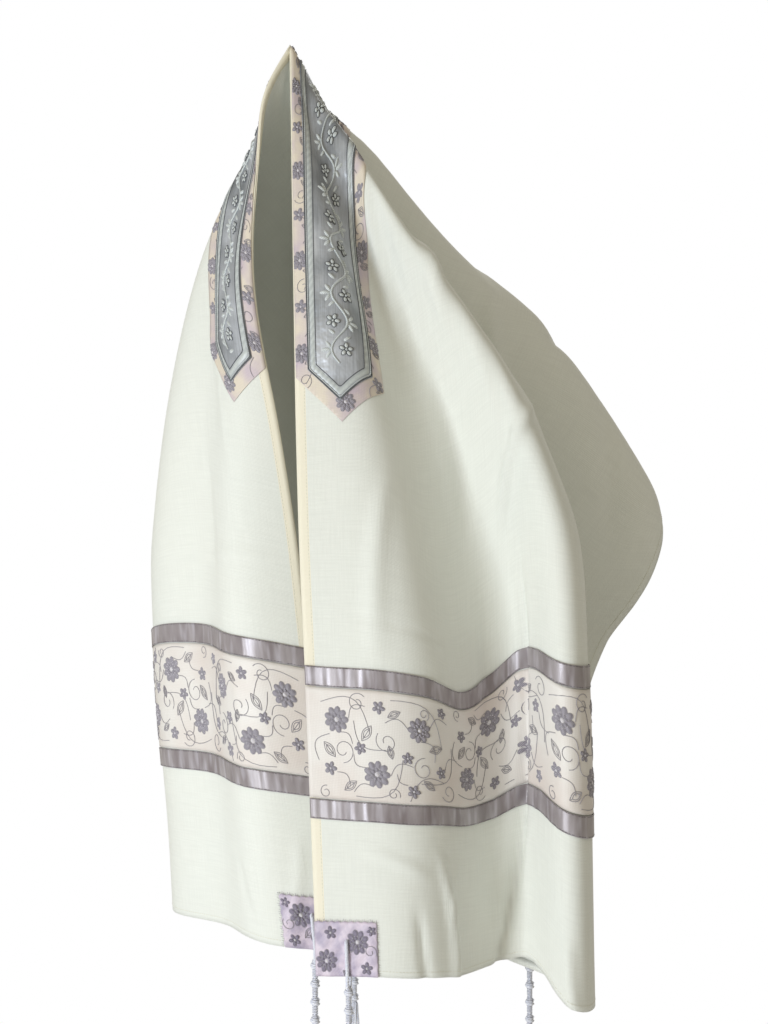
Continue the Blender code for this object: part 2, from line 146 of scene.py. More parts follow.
PLAIN_BLUR = 0.15
TIGHTEST_BEND = 0.045
DEEPEST = 1.5
HALVINGS = 30
SIDE_BLEND = 0.06


def hermite(t, low, high, slope_low, slope_high):
    """A smooth curve between two values, where the slopes are given for the whole span."""
    value = (2 * t**3 - 3 * t**2 + 1) * low + (3 * t**2 - 2 * t**3) * high
    return value + (t**3 - 2 * t**2 + t) * slope_low + (t**3 - t**2) * slope_high


def smooth(table, column, at):
    """Read one column of a table between its rows, on a smooth curve through them."""
    rows = np.array([[row[0], row[column]] for row in table])
    slopes = np.gradient(rows[:, 1], rows[:, 0])
    where = np.clip(np.asarray(at, float), rows[0, 0], rows[-1, 0])
    low = np.clip(np.searchsorted(rows[:, 0], where, side="right") - 1, 0, len(rows) - 2)
    span = rows[low + 1, 0] - rows[low, 0]
    t = (where - rows[low, 0]) / span
    return hermite(t, rows[low, 1], rows[low + 1, 1], span * slopes[low], span * slopes[low + 1])


def arc_lengths(points):
    """Distance along a row of points to each of them."""
    return np.concatenate([[0.0], np.cumsum(np.linalg.norm(np.diff(points, axis=0), axis=1))])


def resample(points, distances):
    """Points at the given distances along a row of points."""
    along = arc_lengths(points)
    return np.stack([np.interp(distances, along, points[:, k]) for k in range(2)], axis=1)


def folded_ring():
    """The ring of FOLDS as a smooth curve, evenly stepped along its length."""
    turns = np.array([row[1:] for row in FOLDS])
    along = arc_lengths(turns)
    fine = np.linspace(0, along[-1], RING_STEPS)
    tables = [list(zip(along, turns[:, k])) for k in range(2)]
    curve = np.stack([smooth(table, 1, fine) for table in tables], axis=1)
    return resample(curve, np.linspace(0, arc_lengths(curve)[-1], RING_STEPS))


def blurred_ring(folded, share):
    """The folded ring with its turns blurred over a share of its length."""
    reach = max(1, int(RING_STEPS * share))
    margin = min(reach, RING_STEPS - 1)
    padded = np.pad(folded, ((margin, margin), (0, 0)), mode="reflect", reflect_type="odd")
    weights = np.hanning(2 * reach + 1)
    weights /= weights.sum()
    blurred = np.stack([np.convolve(padded[:, k], weights, mode="same") for k in range(2)], axis=1)
    return blurred[margin:-margin]


def spread_at(distance, ring):
    """A ring of full size drawn in to its share at a distance from the nape."""
    right, left, front, back = (smooth(SPREAD, k, distance) for k in range(1, 5))
    toward_right = 0.5 + 0.5 * np.tanh(ring[:, 0] / SIDE_BLEND)
    toward_back = 0.5 + 0.5 * np.tanh(ring[:, 1] / SIDE_BLEND)
    across = ring[:, 0] * (left + (right - left) * toward_right)
    deep = ring[:, 1] * (front + (back - front) * toward_back)
    near_right = np.clip(1 - np.linspace(0, 1, len(ring)) / EDGE_SHARE, 0, 1) ** 2
    to_left, to_right = (smooth(FRONT_EDGES, k, distance) for k in (1, 2))
    across += to_right * near_right - to_left * near_right[::-1]
    return np.stack([across, deep], axis=1)


def fold_depth(distance, folded, plain, wanted):
    """How deep the folds must be at a distance from the nape for the ring to take up all its cloth."""
    low, high = 0.0, DEEPEST
    for _ in range(HALVINGS):
        depth = (low + high) / 2
        length = arc_lengths(spread_at(distance, plain + depth * (folded - plain)))[-1]
        low, high = (depth, high) if length < wanted else (low, depth)
    return depth


def between_rings(distances, rings, distance):
    """The ring at a distance from the nape, on smooth rays through the rings worked out so far."""
    slopes = np.gradient(rings, distances, axis=0)
    low = min(np.searchsorted(distances, distance, side="right") - 1, len(distances) - 2)
    span = distances[low + 1] - distances[low]
    t = (distance - distances[low]) / span
    return hermite(t, rings[low], rings[low + 1], span * slopes[low], span * slopes[low + 1])


def smoothstep(low, high, at):
    """A smooth rise from 0 at low to 1 at high."""
    t = np.clip((at - low) / (high - low), 0, 1)
    return t**2 * (3 - 2 * t)


def drape_net():
    """Where the cloth lies: a table of points by distance from the nape and angle round it."""
    folded = folded_ring()
    plain = blurred_ring(folded, PLAIN_BLUR)
    ease = arc_lengths(folded)[-1] / (math.pi * SHAWL_WIDTH)
    shares = np.linspace(0, 1, ANGLES)
    upper, rings = [0.0], [np.zeros((ANGLES, 2))]
    for distance in [row[0] for row in SPREAD if 0 < row[0] <= SHAWL_WIDTH]:
        softer = blurred_ring(folded, TIGHTEST_BEND / (math.pi * distance))
        depth = fold_depth(distance, softer, plain, ease * math.pi * distance)
        ring = spread_at(distance, plain + depth * (softer - plain))
        upper.append(distance)
        rings.append(resample(ring, shares * arc_lengths(ring)[-1]))
    full, rings = plain + depth * (softer - plain), np.array(rings)
    distances = np.linspace(0, LONGEST_RAY, LEVELS)
    plan = np.zeros((LEVELS, ANGLES, 2))
    for level, distance in enumerate(distances):
        if distance < SHAWL_WIDTH:
            plan[level] = between_rings(upper, rings, distance)
            continue
        ring = spread_at(distance, full)
        length = arc_lengths(ring)[-1]
        near = np.minimum(ease * distance * math.pi * shares, length / 2)
        far = length - np.minimum(ease * distance * math.pi * (1 - shares), length / 2)
        plan[level] = resample(ring, np.where(shares < 0.5, near, far))
    for _ in range(SOFTENINGS):
        plan[1:-1] = (plan[:-2] + 2 * plan[1:-1] + plan[2:]) / 4
        plan[:, 1:-1] = (plan[:, :-2] + 2 * plan[:, 1:-1] + plan[:, 2:]) / 4
    step = distances[1]
    sideways = np.linalg.norm(np.diff(plan, axis=0), axis=2)
    drops = np.sqrt(np.maximum(step**2 - sideways**2, (STEEPEST * step) ** 2))
    fading = (GATHERED_REACH - distances[1:]) / (GATHERED_REACH - GATHERED_FULLY)
    drops *= 1 - np.clip(fading, 0, 1)[:, None] * smooth(GATHERS, 1, shares)[None, :]
    heights = np.concatenate([np.zeros((1, ANGLES)), -np.cumsum(drops, axis=0)])
    across = distances[:, None] * np.cos(math.pi * shares)[None, :]
    down = distances[:, None] * np.sin(math.pi * shares)[None, :]
    toward_hem = smoothstep(LEFT_BY_BANDS, HALF, across)
    at_bands = smoothstep(LIFT_STARTS, LIFTED_AT_BANDS, across) * (1 - toward_hem)
    heights += smooth(LIFTS, 1, down) * at_bands + smooth(LIFTS, 2, down) * toward_hem
    return np.concatenate([plan, heights[:, :, None]], axis=2)


NET = np.pad(drape_net(), ((1, 2), (1, 2), (0, 0)), mode="reflect", reflect_type="odd")


def draped(across, down):
    """Places on the drape of points of the flat cloth, across from the nape and down from the neck edge."""
    level = np.hypot(across, down) / LONGEST_RAY * (LEVELS - 1)
    angle = (math.pi / 2 - np.arctan2(across, down)) / math.pi * (ANGLES - 1)
    row, column = level.astype(int), angle.astype(int)
    weights = []
    for t in (level - row, angle - column):
        weights.append((
            (-t + 2 * t**2 - t**3) / 2,
            (2 - 5 * t**2 + 3 * t**3) / 2,
            (t + 4 * t**2 - 3 * t**3) / 2,
            (t**3 - t**2) / 2,
        ))
    place = np.zeros((len(across), 3))
    for i in range(4):
        for j in range(4):
            place += (weights[0][i] * weights[1][j])[:, None] * NET[row + i, column + j]
    return place


CREASES = (
    # where it starts across and down, where it ends across and down, half its width, its rise
    (0.045, 0.132, 0.350, 0.215, 0.009, 0.0070),
    (0.060, 0.168, 0.330, 0.262, 0.011, -0.0070),
    (0.160, 0.110, 0.360, 0.160, 0.009, 0.0026),
    (0.230, 0.250, 0.420, 0.330, 0.012, 0.0050),
    (0.300, 0.220, 0.520, 0.270, 0.011, -0.0028),
    (0.040, 0.260, 0.130, 0.400, 0.012, 0.0052),
    (0.785, 0.132, 0.960, 0.150, 0.0065, 0.0066),
    (0.840, 0.100, 0.960, 0.132, 0.0060, -0.0045),
    (0.800, 0.160, 0.870, 0.142, 0.0045, 0.0018),
    (0.860, 0.225, 0.922, 0.250, 0.0070, 0.0024),
    (0.560, 0.020, 0.575, 0.240, 0.0040, -0.0012),
    (0.120, 0.335, 0.070, 0.550, 0.0085, -0.0075),
    (0.080, 0.290, 0.210, 0.385, 0.0075, 0.0055),
    (0.471, 0.264, 1.050, 0.182, 0.0070, -0.0110),
    (0.850, 0.330, 0.940, 0.346, 0.0070, 0.0045),
    (0.800, 0.045, 0.822, 0.130, 0.0060, 0.0026),
    (0.420, 0.110, 0.640, 0.060, 0.0120, 0.0045),
    (0.120, 0.100, 0.330, 0.125, 0.0080, 0.0055),
    (0.310, 0.150, 0.500, 0.200, 0.0090, -0.0055),
    (0.360, 0.290, 0.520, 0.240, 0.0090, 0.0055),
    (0.500, 0.200, 0.760, 0.222, 0.0100, -0.0022),
    (-0.300, 0.115, -0.470, 0.060, 0.0100, 0.0024),
    (-0.420, 0.140, -0.600, 0.110, 0.0120, -0.0022),
    (-0.545, 0.012, -0.560, 0.150, 0.0045, 0.0014),
    (-0.640, 0.085, -0.780, 0.100, 0.0085, 0.0022),
    (-0.800, 0.030, -0.915, 0.070, 0.0070, 0.0022),
    (-0.830, 0.120, -0.920, 0.105, 0.0080, -0.0022),
    (-0.120, 0.200, -0.260, 0.340, 0.0140, 0.0032),
    (-0.040, 0.250, -0.110, 0.450, 0.0130, -0.0032),
    (0.000, 0.300, 0.020, 0.520, 0.0150, 0.0034),
    (-0.200, 0.420, -0.330, 0.540, 0.0120, 0.0028),
    (0.120, 0.450, 0.250, 0.560, 0.0130, -0.0026),
    (0.450, 0.400, 0.620, 0.470, 0.0120, 0.0028),
    (-0.450, 0.380, -0.700, 0.420, 0.0110, 0.0026),
    (0.680, 0.420, 0.860, 0.450, 0.0100, -0.0024),
    (-0.720, 0.480, -0.880, 0.520, 0.0090, 0.0022),
)
CREASE_BOW = 0.06
CREASE_SWEEP = 3.0
CREASE_PHASE = 40
CREASE_FADE = 0.35
CREASE_START = 0.6
HEM_WAVE = 0.0012
HEM_WAVE_REACH = 0.030
HEM_RIPPLES = (
    # radians a metre across, radians a metre down, phase
    (3, 61, 0.0),
    (0, 97, 1.3),
    (43, 2, 0.0),
)


def relief(across, down):
    """How far creases and hem waves lift points of the flat cloth off the drape."""
    height = np.zeros(len(across))
    for across_1, down_1, across_2, down_2, half_width, rise in CREASES:
        run = np.array([across_2 - across_1, down_2 - down_1])
        length = np.linalg.norm(run)
        along = ((across - across_1) * run[0] + (down - down_1) * run[1]) / length**2
        bow = CREASE_BOW * length * np.sin(CREASE_SWEEP * along + CREASE_PHASE * across_1)
        beside = ((down - down_1) * run[0] - (across - across_1) * run[1]) / length - bow
        ends = np.clip(np.minimum(along, 1 - along) / CREASE_FADE, 0, 1)
        reach = half_width * (CREASE_START + along / 2)
        height += rise * ends**2 * (3 - 2 * ends) * np.exp(-((beside / reach) ** 2))
    from_hem = np.minimum(HALF - np.abs(across), SHAWL_WIDTH - down)
    waves = sum(np.sin(turn_1 * across + turn_2 * down + phase) for turn_1, turn_2, phase in HEM_RIPPLES)
    return height + HEM_WAVE / 3 * waves * np.exp(-from_hem / HEM_WAVE_REACH)


def on_cloth(across, down, out):
    """Places of points that lie `out` metres over the middle of the draped cloth."""
    step = 0.002
    by_across = draped(across + step, down) - draped(across - step, down)
    by_down = draped(across, down + step) - draped(across, np.maximum(down - step, 0))
    outward = np.cross(by_across, by_down)
    outward /= np.linalg.norm(outward, axis=1)[:, None]
    return draped(across, down) + outward * (out + relief(across, down))[:, None]


def flat_sheet(across_1, across_2, down_1, down_2, step):
    """Flat cloth in its own plane: a grid of quads between four edges."""
    flat = bmesh.new()
    wide, deep = across_2 - across_1, down_2 - down_1
    columns, rows = round(wide / step), max(1, round(deep / step))
    bmesh.ops.create_grid(flat, x_segments=columns, y_segments=rows, size=0.5)
    shift = ((across_1 + across_2) / 2, (down_1 + down_2) / 2, 0)
    bmesh.ops.scale(flat, vec=(wide, deep, 1), verts=flat.verts)
    bmesh.ops.translate(flat, vec=shift, verts=flat.verts)
    return flat


def add_piece(name, mesh, finishes, nodes=(), wall=0.0, offset=1.0):
    """Put a mesh into the scene as a piece of the shawl, with its finishes, and a wall if it is a sheet."""
    data = bpy.data.meshes.new(name)
    mesh.to_mesh(data)
    mesh.free()
    for finish in finishes:
        data.materials.append(finish)
    data.shade_smooth()
    piece = bpy.data.objects.new(name, data)
    bpy.context.scene.collection.objects.link(piece)
    if wall:
        shell = piece.modifiers.new("Wall", "SOLIDIFY")
        shell.thickness = wall
        shell.offset = offset
    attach(piece, "root")
    if nodes:
        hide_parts(*nodes)
    return piece


def sew(name, flat, out, wall, finishes, nodes=()):
    """Carry a flat piece to the cloth, `out` metres over it, and add it with its wall."""
    chart = flat.loops.layers.uv.new("cut")
    for face in flat.faces:
        for loop in face.loops:
            loop[chart].uv = loop.vert.co.xy
    points = np.array([vert.co for vert in flat.verts])
    places = on_cloth(points[:, 0], points[:, 1], out + points[:, 2])
    for vert, place in zip(flat.verts, places):
        vert.co = place
    return add_piece(name, flat, finishes, nodes, wall, 0.0 if out == 0 else 1.0)


def linear(hex_colour):
    """An sRGB hex colour as the linear red, green, blue and alpha that a node takes."""
    values = [int(hex_colour[k : k + 2], 16) / 255 for k in (1, 3, 5)]
    return [v / 12.92 if v <= 0.04045 else ((v + 0.055) / 1.055) ** 2.4 for v in values] + [1.0]


def add_node(tree, kind, sockets=None, **settings):
    """Add a node with its settings, its socket values and its links."""
    made = tree.nodes.new(kind)
    for key, value in settings.items():
        setattr(made, key, value)
    for key, value in (sockets or {}).items():
        if isinstance(value, bpy.types.NodeSocket):
            tree.links.new(value, made.inputs[key])
        else:
            made.inputs[key].default_value = value
    return made


def new_finish(name):
    """An empty material with its tree, its surface shader and the flat cut's coordinates in metres."""
    finish = bpy.data.materials.new(name)
    finish.use_nodes = True
    tree = finish.node_tree
    cut = add_node(tree, "ShaderNodeUVMap", uv_map="cut")
    return finish, tree, tree.nodes["Principled BSDF"], cut.outputs["UV"]


# Worsted wool, plain woven: matt with a little nap, each thread a soft rib. The real threads are 0.4 mm
# apart, too fine to show, so the weave is drawn at 1.3 mm, with slubs where a thread runs thicker.
WEAVE = 0.0013
WOOL = "#F2F3EC"
WOOL_SHADE = "#ECF0EB"
TURNED_WOOL = "#F3EDDA"
NECK_TURN = 0.011
SLUB_CELLS = ((25, 700, 1), (700, 25, 1))


def wave_scale(spacing):
    """The scale of a wave texture whose lines lie a spacing in metres apart."""
    return math.pi / 10 / spacing


def wool_finish():
    """Ivory worsted wool: threads crossing two ways, with slubs, and a turned neck edge of warmer wool."""
    finish, tree, shader, cut = new_finish("worsted_wool")
    ribs = []
    for direction in ("X", "Y"):
        wave = add_node(
            tree, "ShaderNodeTexWave", {"Vector": cut, "Scale": wave_scale(WEAVE), "Distortion": 0.8},
            bands_direction=direction,
        )
        ribs.append(wave.outputs["Fac"])
    weave = add_node(tree, "ShaderNodeMath", {0: ribs[0], 1: ribs[1]}, operation="MULTIPLY").outputs[0]
    slubs = []
    for cells in SLUB_CELLS:
        run = add_node(tree, "ShaderNodeMapping", {"Vector": cut, "Scale": cells}).outputs[0]
        noise = add_node(tree, "ShaderNodeTexNoise", {"Vector": run, "Scale": 1.0, "Detail": 2.0})
        slubs.append(noise.outputs["Fac"])
    slub = add_node(tree, "ShaderNodeMath", {0: slubs[0], 1: slubs[1]}, operation="MULTIPLY").outputs[0]
    cloud = add_node(tree, "ShaderNodeTexNoise", {"Vector": cut, "Scale": 5.0, "Detail": 3.0})
    tone = add_node(
        tree, "ShaderNodeMix", {0: cloud.outputs["Fac"], 6: linear(WOOL), 7: linear(WOOL_SHADE)},
        data_type="RGBA",
    ).outputs[2]
    thread = add_node(
        tree, "ShaderNodeMapRange",
        {"Value": slub, "From Min": 0.12, "From Max": 0.42, "To Min": 0.94, "To Max": 1.0},
    ).outputs[0]
    rib = add_node(tree, "ShaderNodeMapRange", {"Value": weave, "To Min": 0.965, "To Max": 1.0}).outputs[0]
    dark = add_node(tree, "ShaderNodeMath", {0: thread, 1: rib}, operation="MULTIPLY").outputs[0]
    shaded = add_node(tree, "ShaderNodeVectorMath", {0: tone, 3: dark}, operation="SCALE").outputs[0]
    place = add_node(tree, "ShaderNodeSeparateXYZ", {0: cut})
    turned = add_node(tree, "ShaderNodeMath", {0: place.outputs["Y"], 1: NECK_TURN}, operation="LESS_THAN")
    colour = add_node(
        tree, "ShaderNodeMix", {0: turned.outputs[0], 6: shaded, 7: linear(TURNED_WOOL)}, data_type="RGBA"
    )
    height = add_node(tree, "ShaderNodeMath", {0: weave, 1: slub}, operation="ADD").outputs[0]
    bump = add_node(tree, "ShaderNodeBump", {"Height": height, "Strength": 0.35, "Distance": 0.0004})
    tree.links.new(colour.outputs[2], shader.inputs["Base Color"])
    tree.links.new(bump.outputs[0], shader.inputs["Normal"])
    shader.inputs["Roughness"].default_value = 0.88
    shader.inputs["Sheen Weight"].default_value = 0.25
    shader.inputs["Sheen Roughness"].default_value = 0.5
    return finish


wool = wool_finish()
shawl = sew(
    "wool_shawl", flat_sheet(-HALF, HALF, 0, SHAWL_WIDTH, CLOTH_STEP), 0, CLOTH, [wool],
    ["shawl_cloth"],
)

# Hems. All four edges are turned to the inside and stitched down: 11 mm wide along the neck edge,
# 7 mm along the rest. The fold is a second layer of the same wool, and the stitches show outside.
EDGE_TURN = 0.007
HEM_INSET = 0.0012
TURN_STEP = 0.006
TURN_OUT = -0.0017
TURN_WALL = 0.0008
SEAM = 0.0004
STITCH_LONG = 0.0024
STITCH_GAP = 0.0010
STITCH_WIDE = 0.00055


def threads(lines, width, into=None, cyclic=False):
    """Round threads laid along lines of points, as a bmesh, with four sides each."""
    curve = bpy.data.curves.new("threads", "CURVE")
    curve.dimensions = "3D"
    curve.bevel_depth = width / 2
    curve.bevel_resolution = 0
    curve.use_fill_caps = not cyclic
    for line in lines:
        spline = curve.splines.new("POLY")
        spline.points.add(len(line) - 1)
        spline.use_cyclic_u = cyclic
        spline.points.foreach_set("co", [c for point in line for c in (*point, 1)])
    drawn = bpy.data.objects.new("threads", curve)
    bpy.context.scene.collection.objects.link(drawn)
    bpy.context.view_layer.update()
    data = bpy.data.meshes.new_from_object(drawn.evaluated_get(bpy.context.evaluated_depsgraph_get()))
    mesh = bmesh.new() if into is None else into
    mesh.from_mesh(data)
    bpy.data.objects.remove(drawn)
    bpy.data.curves.remove(curve)
    bpy.data.meshes.remove(data)
    return mesh


def stitches(lines, height=0.0):
    """Running stitches along lines of flat points: each stitch is one short thread."""
    dashes = []
    for line in lines:
        along = arc_lengths(np.array(line))
        for start in np.arange(STITCH_GAP, along[-1] - STITCH_LONG, STITCH_LONG + STITCH_GAP):
            ends = resample(np.array(line), np.array([start, start + STITCH_LONG / 2, start + STITCH_LONG]))
            rises = (-0.5, 0.5, -0.5)
            dashes.append([(x, y, height + STITCH_WIDE * rise / 2) for (x, y), rise in zip(ends, rises)])
    return threads(dashes, STITCH_WIDE)


def thread_finish(name, colour, painted_glint, spacing, roughness=0.6):
    """Sewing thread: twisted and mercerised; its soft gloss is painted in, a lighter glint colour laid in
    fine slanting lines.
    """
    finish, tree, shader, cut = new_finish(name)
    wave = add_node(
        tree, "ShaderNodeTexWave", {"Vector": cut, "Scale": wave_scale(spacing), "Distortion": 1.5},
        bands_direction="DIAGONAL",
    )
    patch = add_node(tree, "ShaderNodeTexNoise", {"Vector": cut, "Scale": 420.0, "Detail": 2.0})
    # Painted highlight: the glint colour is mixed in along the slanting wave lines, broken up by noise.
    painted_glint_share = add_node(
        tree, "ShaderNodeMath", {0: wave.outputs["Fac"], 1: patch.outputs["Fac"]}, operation="MULTIPLY"
    )
    colour = add_node(
        tree, "ShaderNodeMix", {0: painted_glint_share.outputs[0], 6: linear(colour), 7: linear(painted_glint)}, data_type="RGBA"
    )
    bump = add_node(
        tree, "ShaderNodeBump", {"Height": wave.outputs["Fac"], "Strength": 0.6, "Distance": 0.0003}
    )
    tree.links.new(colour.outputs[2], shader.inputs["Base Color"])
    tree.links.new(bump.outputs[0], shader.inputs["Normal"])
    shader.inputs["Roughness"].default_value = roughness
    shader.inputs["Sheen Weight"].default_value = 0.2
    return finish


# The second colour of each thread is its painted glint.
hem_thread = thread_finish("cream_sewing_thread", "#DAD9C8", "#F5F4EA", 0.0008)
turn_low, turn_high = NECK_TURN, SHAWL_WIDTH - EDGE_TURN
for name, edges in (
    ("neck_hem", (-HALF, HALF, 0, NECK_TURN)),
    ("far_hem", (-HALF, HALF, turn_high, SHAWL_WIDTH)),
    ("left_end_hem", (-HALF, -HALF + EDGE_TURN, turn_low + SEAM, turn_high - SEAM)),
    ("right_end_hem", (HALF - EDGE_TURN, HALF, turn_low + SEAM, turn_high - SEAM)),
):
    sew(name, flat_sheet(*edges, TURN_STEP), TURN_OUT, TURN_WALL, [wool])
stitched_half = HALF - EDGE_TURN + HEM_INSET
hem_line = [
    (-stitched_half, turn_low - HEM_INSET),
    (stitched_half, turn_low - HEM_INSET),
    (stitched_half, turn_high + HEM_INSET),
    (-stitched_half, turn_high + HEM_INSET),
    (-stitched_half, turn_low - HEM_INSET),
]
hem_stitches = sew("hem_stitches", stitches([hem_line]), CLOTH / 2, 0, [hem_thread])

# Satin ribbons. Two run across each end, mauve-grey and 20 mm wide, stitched down along both edges.
# The stitching draws them up a little, so short crosswise puckers catch the light in streaks; further
# streaks of painted highlight and painted shade lie in the satin's colour.
RIBBON = 0.020
LOWER_RIBBON_RISE = 0.150
FLORAL_BAND = 0.107
LOWER_RIBBON = HALF - LOWER_RIBBON_RISE - RIBBON
FLORAL = LOWER_RIBBON - FLORAL_BAND
UPPER_RIBBON = FLORAL - RIBBON
ON_CLOTH = 0.0013
TRIM = 0.0005
TRIM_STEP = 0.004
TRIM_INSET = 0.0003
STITCHED_IN = 0.001
STITCHES_END = 0.002
PUCKER = 0.0007
SHORT_RIPPLE = 510
LONG_RIPPLE = 83
FINE_RIPPLE = 930
RIBBON_RIB = 0.0007
# Painted sheen: these noise streaks darken and lighten the ribbon's colour.
PAINTED_SHEEN_STREAKS = (
    # noise cells a metre along each way of the cut, detail
    ((16, 60, 1), 2.0),
    ((28, 130, 1), 1.0),
)
SIDES = ((-1, "left"), (1, "right"))


def ribbon_finish():
    """Satin ribbon: long floats of yarn give it a silky gloss, painted into its colour as darker and
    lighter streaks across it.
    """
    finish, tree, shader, cut = new_finish("mauve_satin")
    streaks = []
    for cells, detail in PAINTED_SHEEN_STREAKS:
        run = add_node(tree, "ShaderNodeMapping", {"Vector": cut, "Scale": cells}).outputs[0]
        noise = add_node(tree, "ShaderNodeTexNoise", {"Vector": run, "Scale": 1.0, "Detail": detail})
        streaks.append(noise.outputs["Fac"])
    # Painted shade in the darker streaks and painted highlight in the pale lilac ones.
    dark = add_node(
        tree, "ShaderNodeMapRange", {"Value": streaks[0], "From Min": 0.35, "From Max": 0.62}
    ).outputs[0]
    painted_highlight_share = add_node(
        tree, "ShaderNodeMapRange",
        {"Value": streaks[1], "From Min": 0.50, "From Max": 0.76, "To Max": 0.55},
    ).outputs[0]
    tone = add_node(
        tree, "ShaderNodeMix", {0: dark, 6: linear("#8A8184"), 7: linear("#A8A1A5")}, data_type="RGBA"
    ).outputs[2]
    colour_with_painted_sheen = add_node(tree, "ShaderNodeMix", {0: painted_highlight_share, 6: tone, 7: linear("#D2CED9")}, data_type="RGBA")
    tree.links.new(colour_with_painted_sheen.outputs[2], shader.inputs["Base Color"])
    ribs = add_node(
        tree, "ShaderNodeTexWave", {"Vector": cut, "Scale": wave_scale(RIBBON_RIB)}, bands_direction="X"
    ).outputs["Fac"]
    bump = add_node(tree, "ShaderNodeBump", {"Height": ribs, "Strength": 0.3, "Distance": 0.0001})
    tree.links.new(bump.outputs[0], shader.inputs["Normal"])
    shader.inputs["Metallic"].default_value = 0.15
    shader.inputs["Roughness"].default_value = 0.34
    shader.inputs["Sheen Weight"].default_value = 0.15
    return finish


def pucker(down, phase):
    """The small crosswise ripple of a ribbon or band that its stitching has drawn up."""
    ripple = math.sin(SHORT_RIPPLE * down + phase) * math.sin(LONG_RIPPLE * down + 2 * phase)
    return PUCKER / 3 * (ripple + 0.5 * math.sin(FINE_RIPPLE * down + phase))


satin_ribbon = ribbon_finish()
# The second colour is the thread's painted glint.
dark_thread = thread_finish("grey_sewing_thread", "#57525A", "#7D7883", 0.0008)
for side, word in SIDES:
    for place, start in (("upper", UPPER_RIBBON), ("lower", LOWER_RIBBON)):
        edges = sorted((side * (start + SEAM), side * (start + RIBBON - SEAM)))
        strip = flat_sheet(*edges, TRIM_INSET, SHAWL_WIDTH - TRIM_INSET, TRIM_STEP / 2)
        for vert in strip.verts:
            vert.co.z = PUCKER + pucker(vert.co.y, start + side)
        node = f"{word}_{place}_ribbon"
        ribbon = sew(f"{node}_satin", strip, ON_CLOTH, TRIM, [satin_ribbon], [node])
        lines = [
            [(edge, STITCHES_END), (edge, SHAWL_WIDTH - STITCHES_END)]
            for edge in (edges[0] + STITCHED_IN, edges[1] - STITCHED_IN)
        ]
        seam = sew(
            f"{node}_stitches", stitches(lines, PUCKER), ON_CLOTH + TRIM, 0, [dark_thread]
        )

# Floral bands. Sheer blush organza, 107 mm wide, lies on the wool between the ribbons. It is machine
# embroidered all over in mauve-grey: large padded flowers, five-petalled small ones, leaves and curls.
ORGANZA_NET = 0.0016
VINE_WIDE = 0.00064
REPEAT = 0.150
REPEATS = 4
FIRST_REPEAT = 0.004
BARE_EDGE = 0.001
PAD_INSET = 0.35
PAD_SIDES = 0.75
PAD_TOP = 0.25
LARGE_FLOWERS = (
    # across the band, along it, radius, turn
    (0.030, 0.028, 0.0125, 0.2),
    (0.080, 0.068, 0.0130, 0.9),
    (0.034, 0.112, 0.0120, 0.5),
)
SMALL_FLOWERS = (
    # across the band, along it, radius, turn
    (0.077, 0.020, 0.0068, 0.3),
    (0.056, 0.052, 0.0062, 1.0),
    (0.016, 0.072, 0.0066, 0.1),
    (0.062, 0.099, 0.0060, 0.6),
    (0.094, 0.104, 0.0068, 0.2),
    (0.074, 0.136, 0.0064, 0.9),
    (0.012, 0.139, 0.0058, 0.4),
)
LEAVES = (
    # across the band, along it, length, turn
    (0.052, 0.014, 0.018, 0.7),
    (0.097, 0.034, 0.016, 2.2),
    (0.034, 0.064, 0.018, -0.6),
    (0.054, 0.122, 0.017, 1.9),
    (0.092, 0.127, 0.015, 4.1),
    (0.018, 0.093, 0.014, 5.2),
    (0.064, 0.084, 0.013, 3.4),
)
CURLS = (
    # across the band, along it, radius, turn
    (0.059, 0.034, 0.0120, 0.0),
    (0.013, 0.050, 0.0100, 2.2),
    (0.048, 0.079, 0.0115, 4.0),
    (0.098, 0.084, 0.0065, 1.2),
    (0.072, 0.115, 0.0115, 3.0),
    (0.018, 0.117, 0.0060, 0.6),
    (0.093, 0.146, 0.0105, 5.2),
    (0.100, 0.014, 0.0065, 2.9),
)
STEMS = (
    # from across and along, to across and along, bulge as a share of its length
    (0.042, 0.030, 0.052, 0.044, 0.30),
    (0.062, 0.045, 0.074, 0.057, -0.30),
    (0.080, 0.082, 0.070, 0.104, 0.30),
    (0.045, 0.113, 0.064, 0.128, 0.35),
    (0.034, 0.100, 0.030, 0.078, -0.30),
    (0.028, 0.041, 0.016, 0.058, 0.35),
    (0.092, 0.064, 0.098, 0.044, -0.25),
    (0.030, 0.124, 0.022, 0.146, 0.30),
    (0.070, 0.142, 0.058, 0.160, 0.30),
    (0.080, 0.027, 0.092, 0.040, 0.30),
    (0.044, 0.020, 0.070, 0.008, -0.35),
    (0.088, 0.098, 0.078, 0.088, 0.25),
    (0.014, 0.012, 0.040, 0.062, 0.35),
    (0.102, 0.046, 0.064, 0.094, -0.30),
    (0.008, 0.084, 0.050, 0.138, 0.28),
    (0.086, 0.112, 0.046, 0.152, -0.35),
    (0.030, 0.046, 0.056, 0.078, -0.32),
    (0.104, 0.100, 0.084, 0.140, 0.30),
)


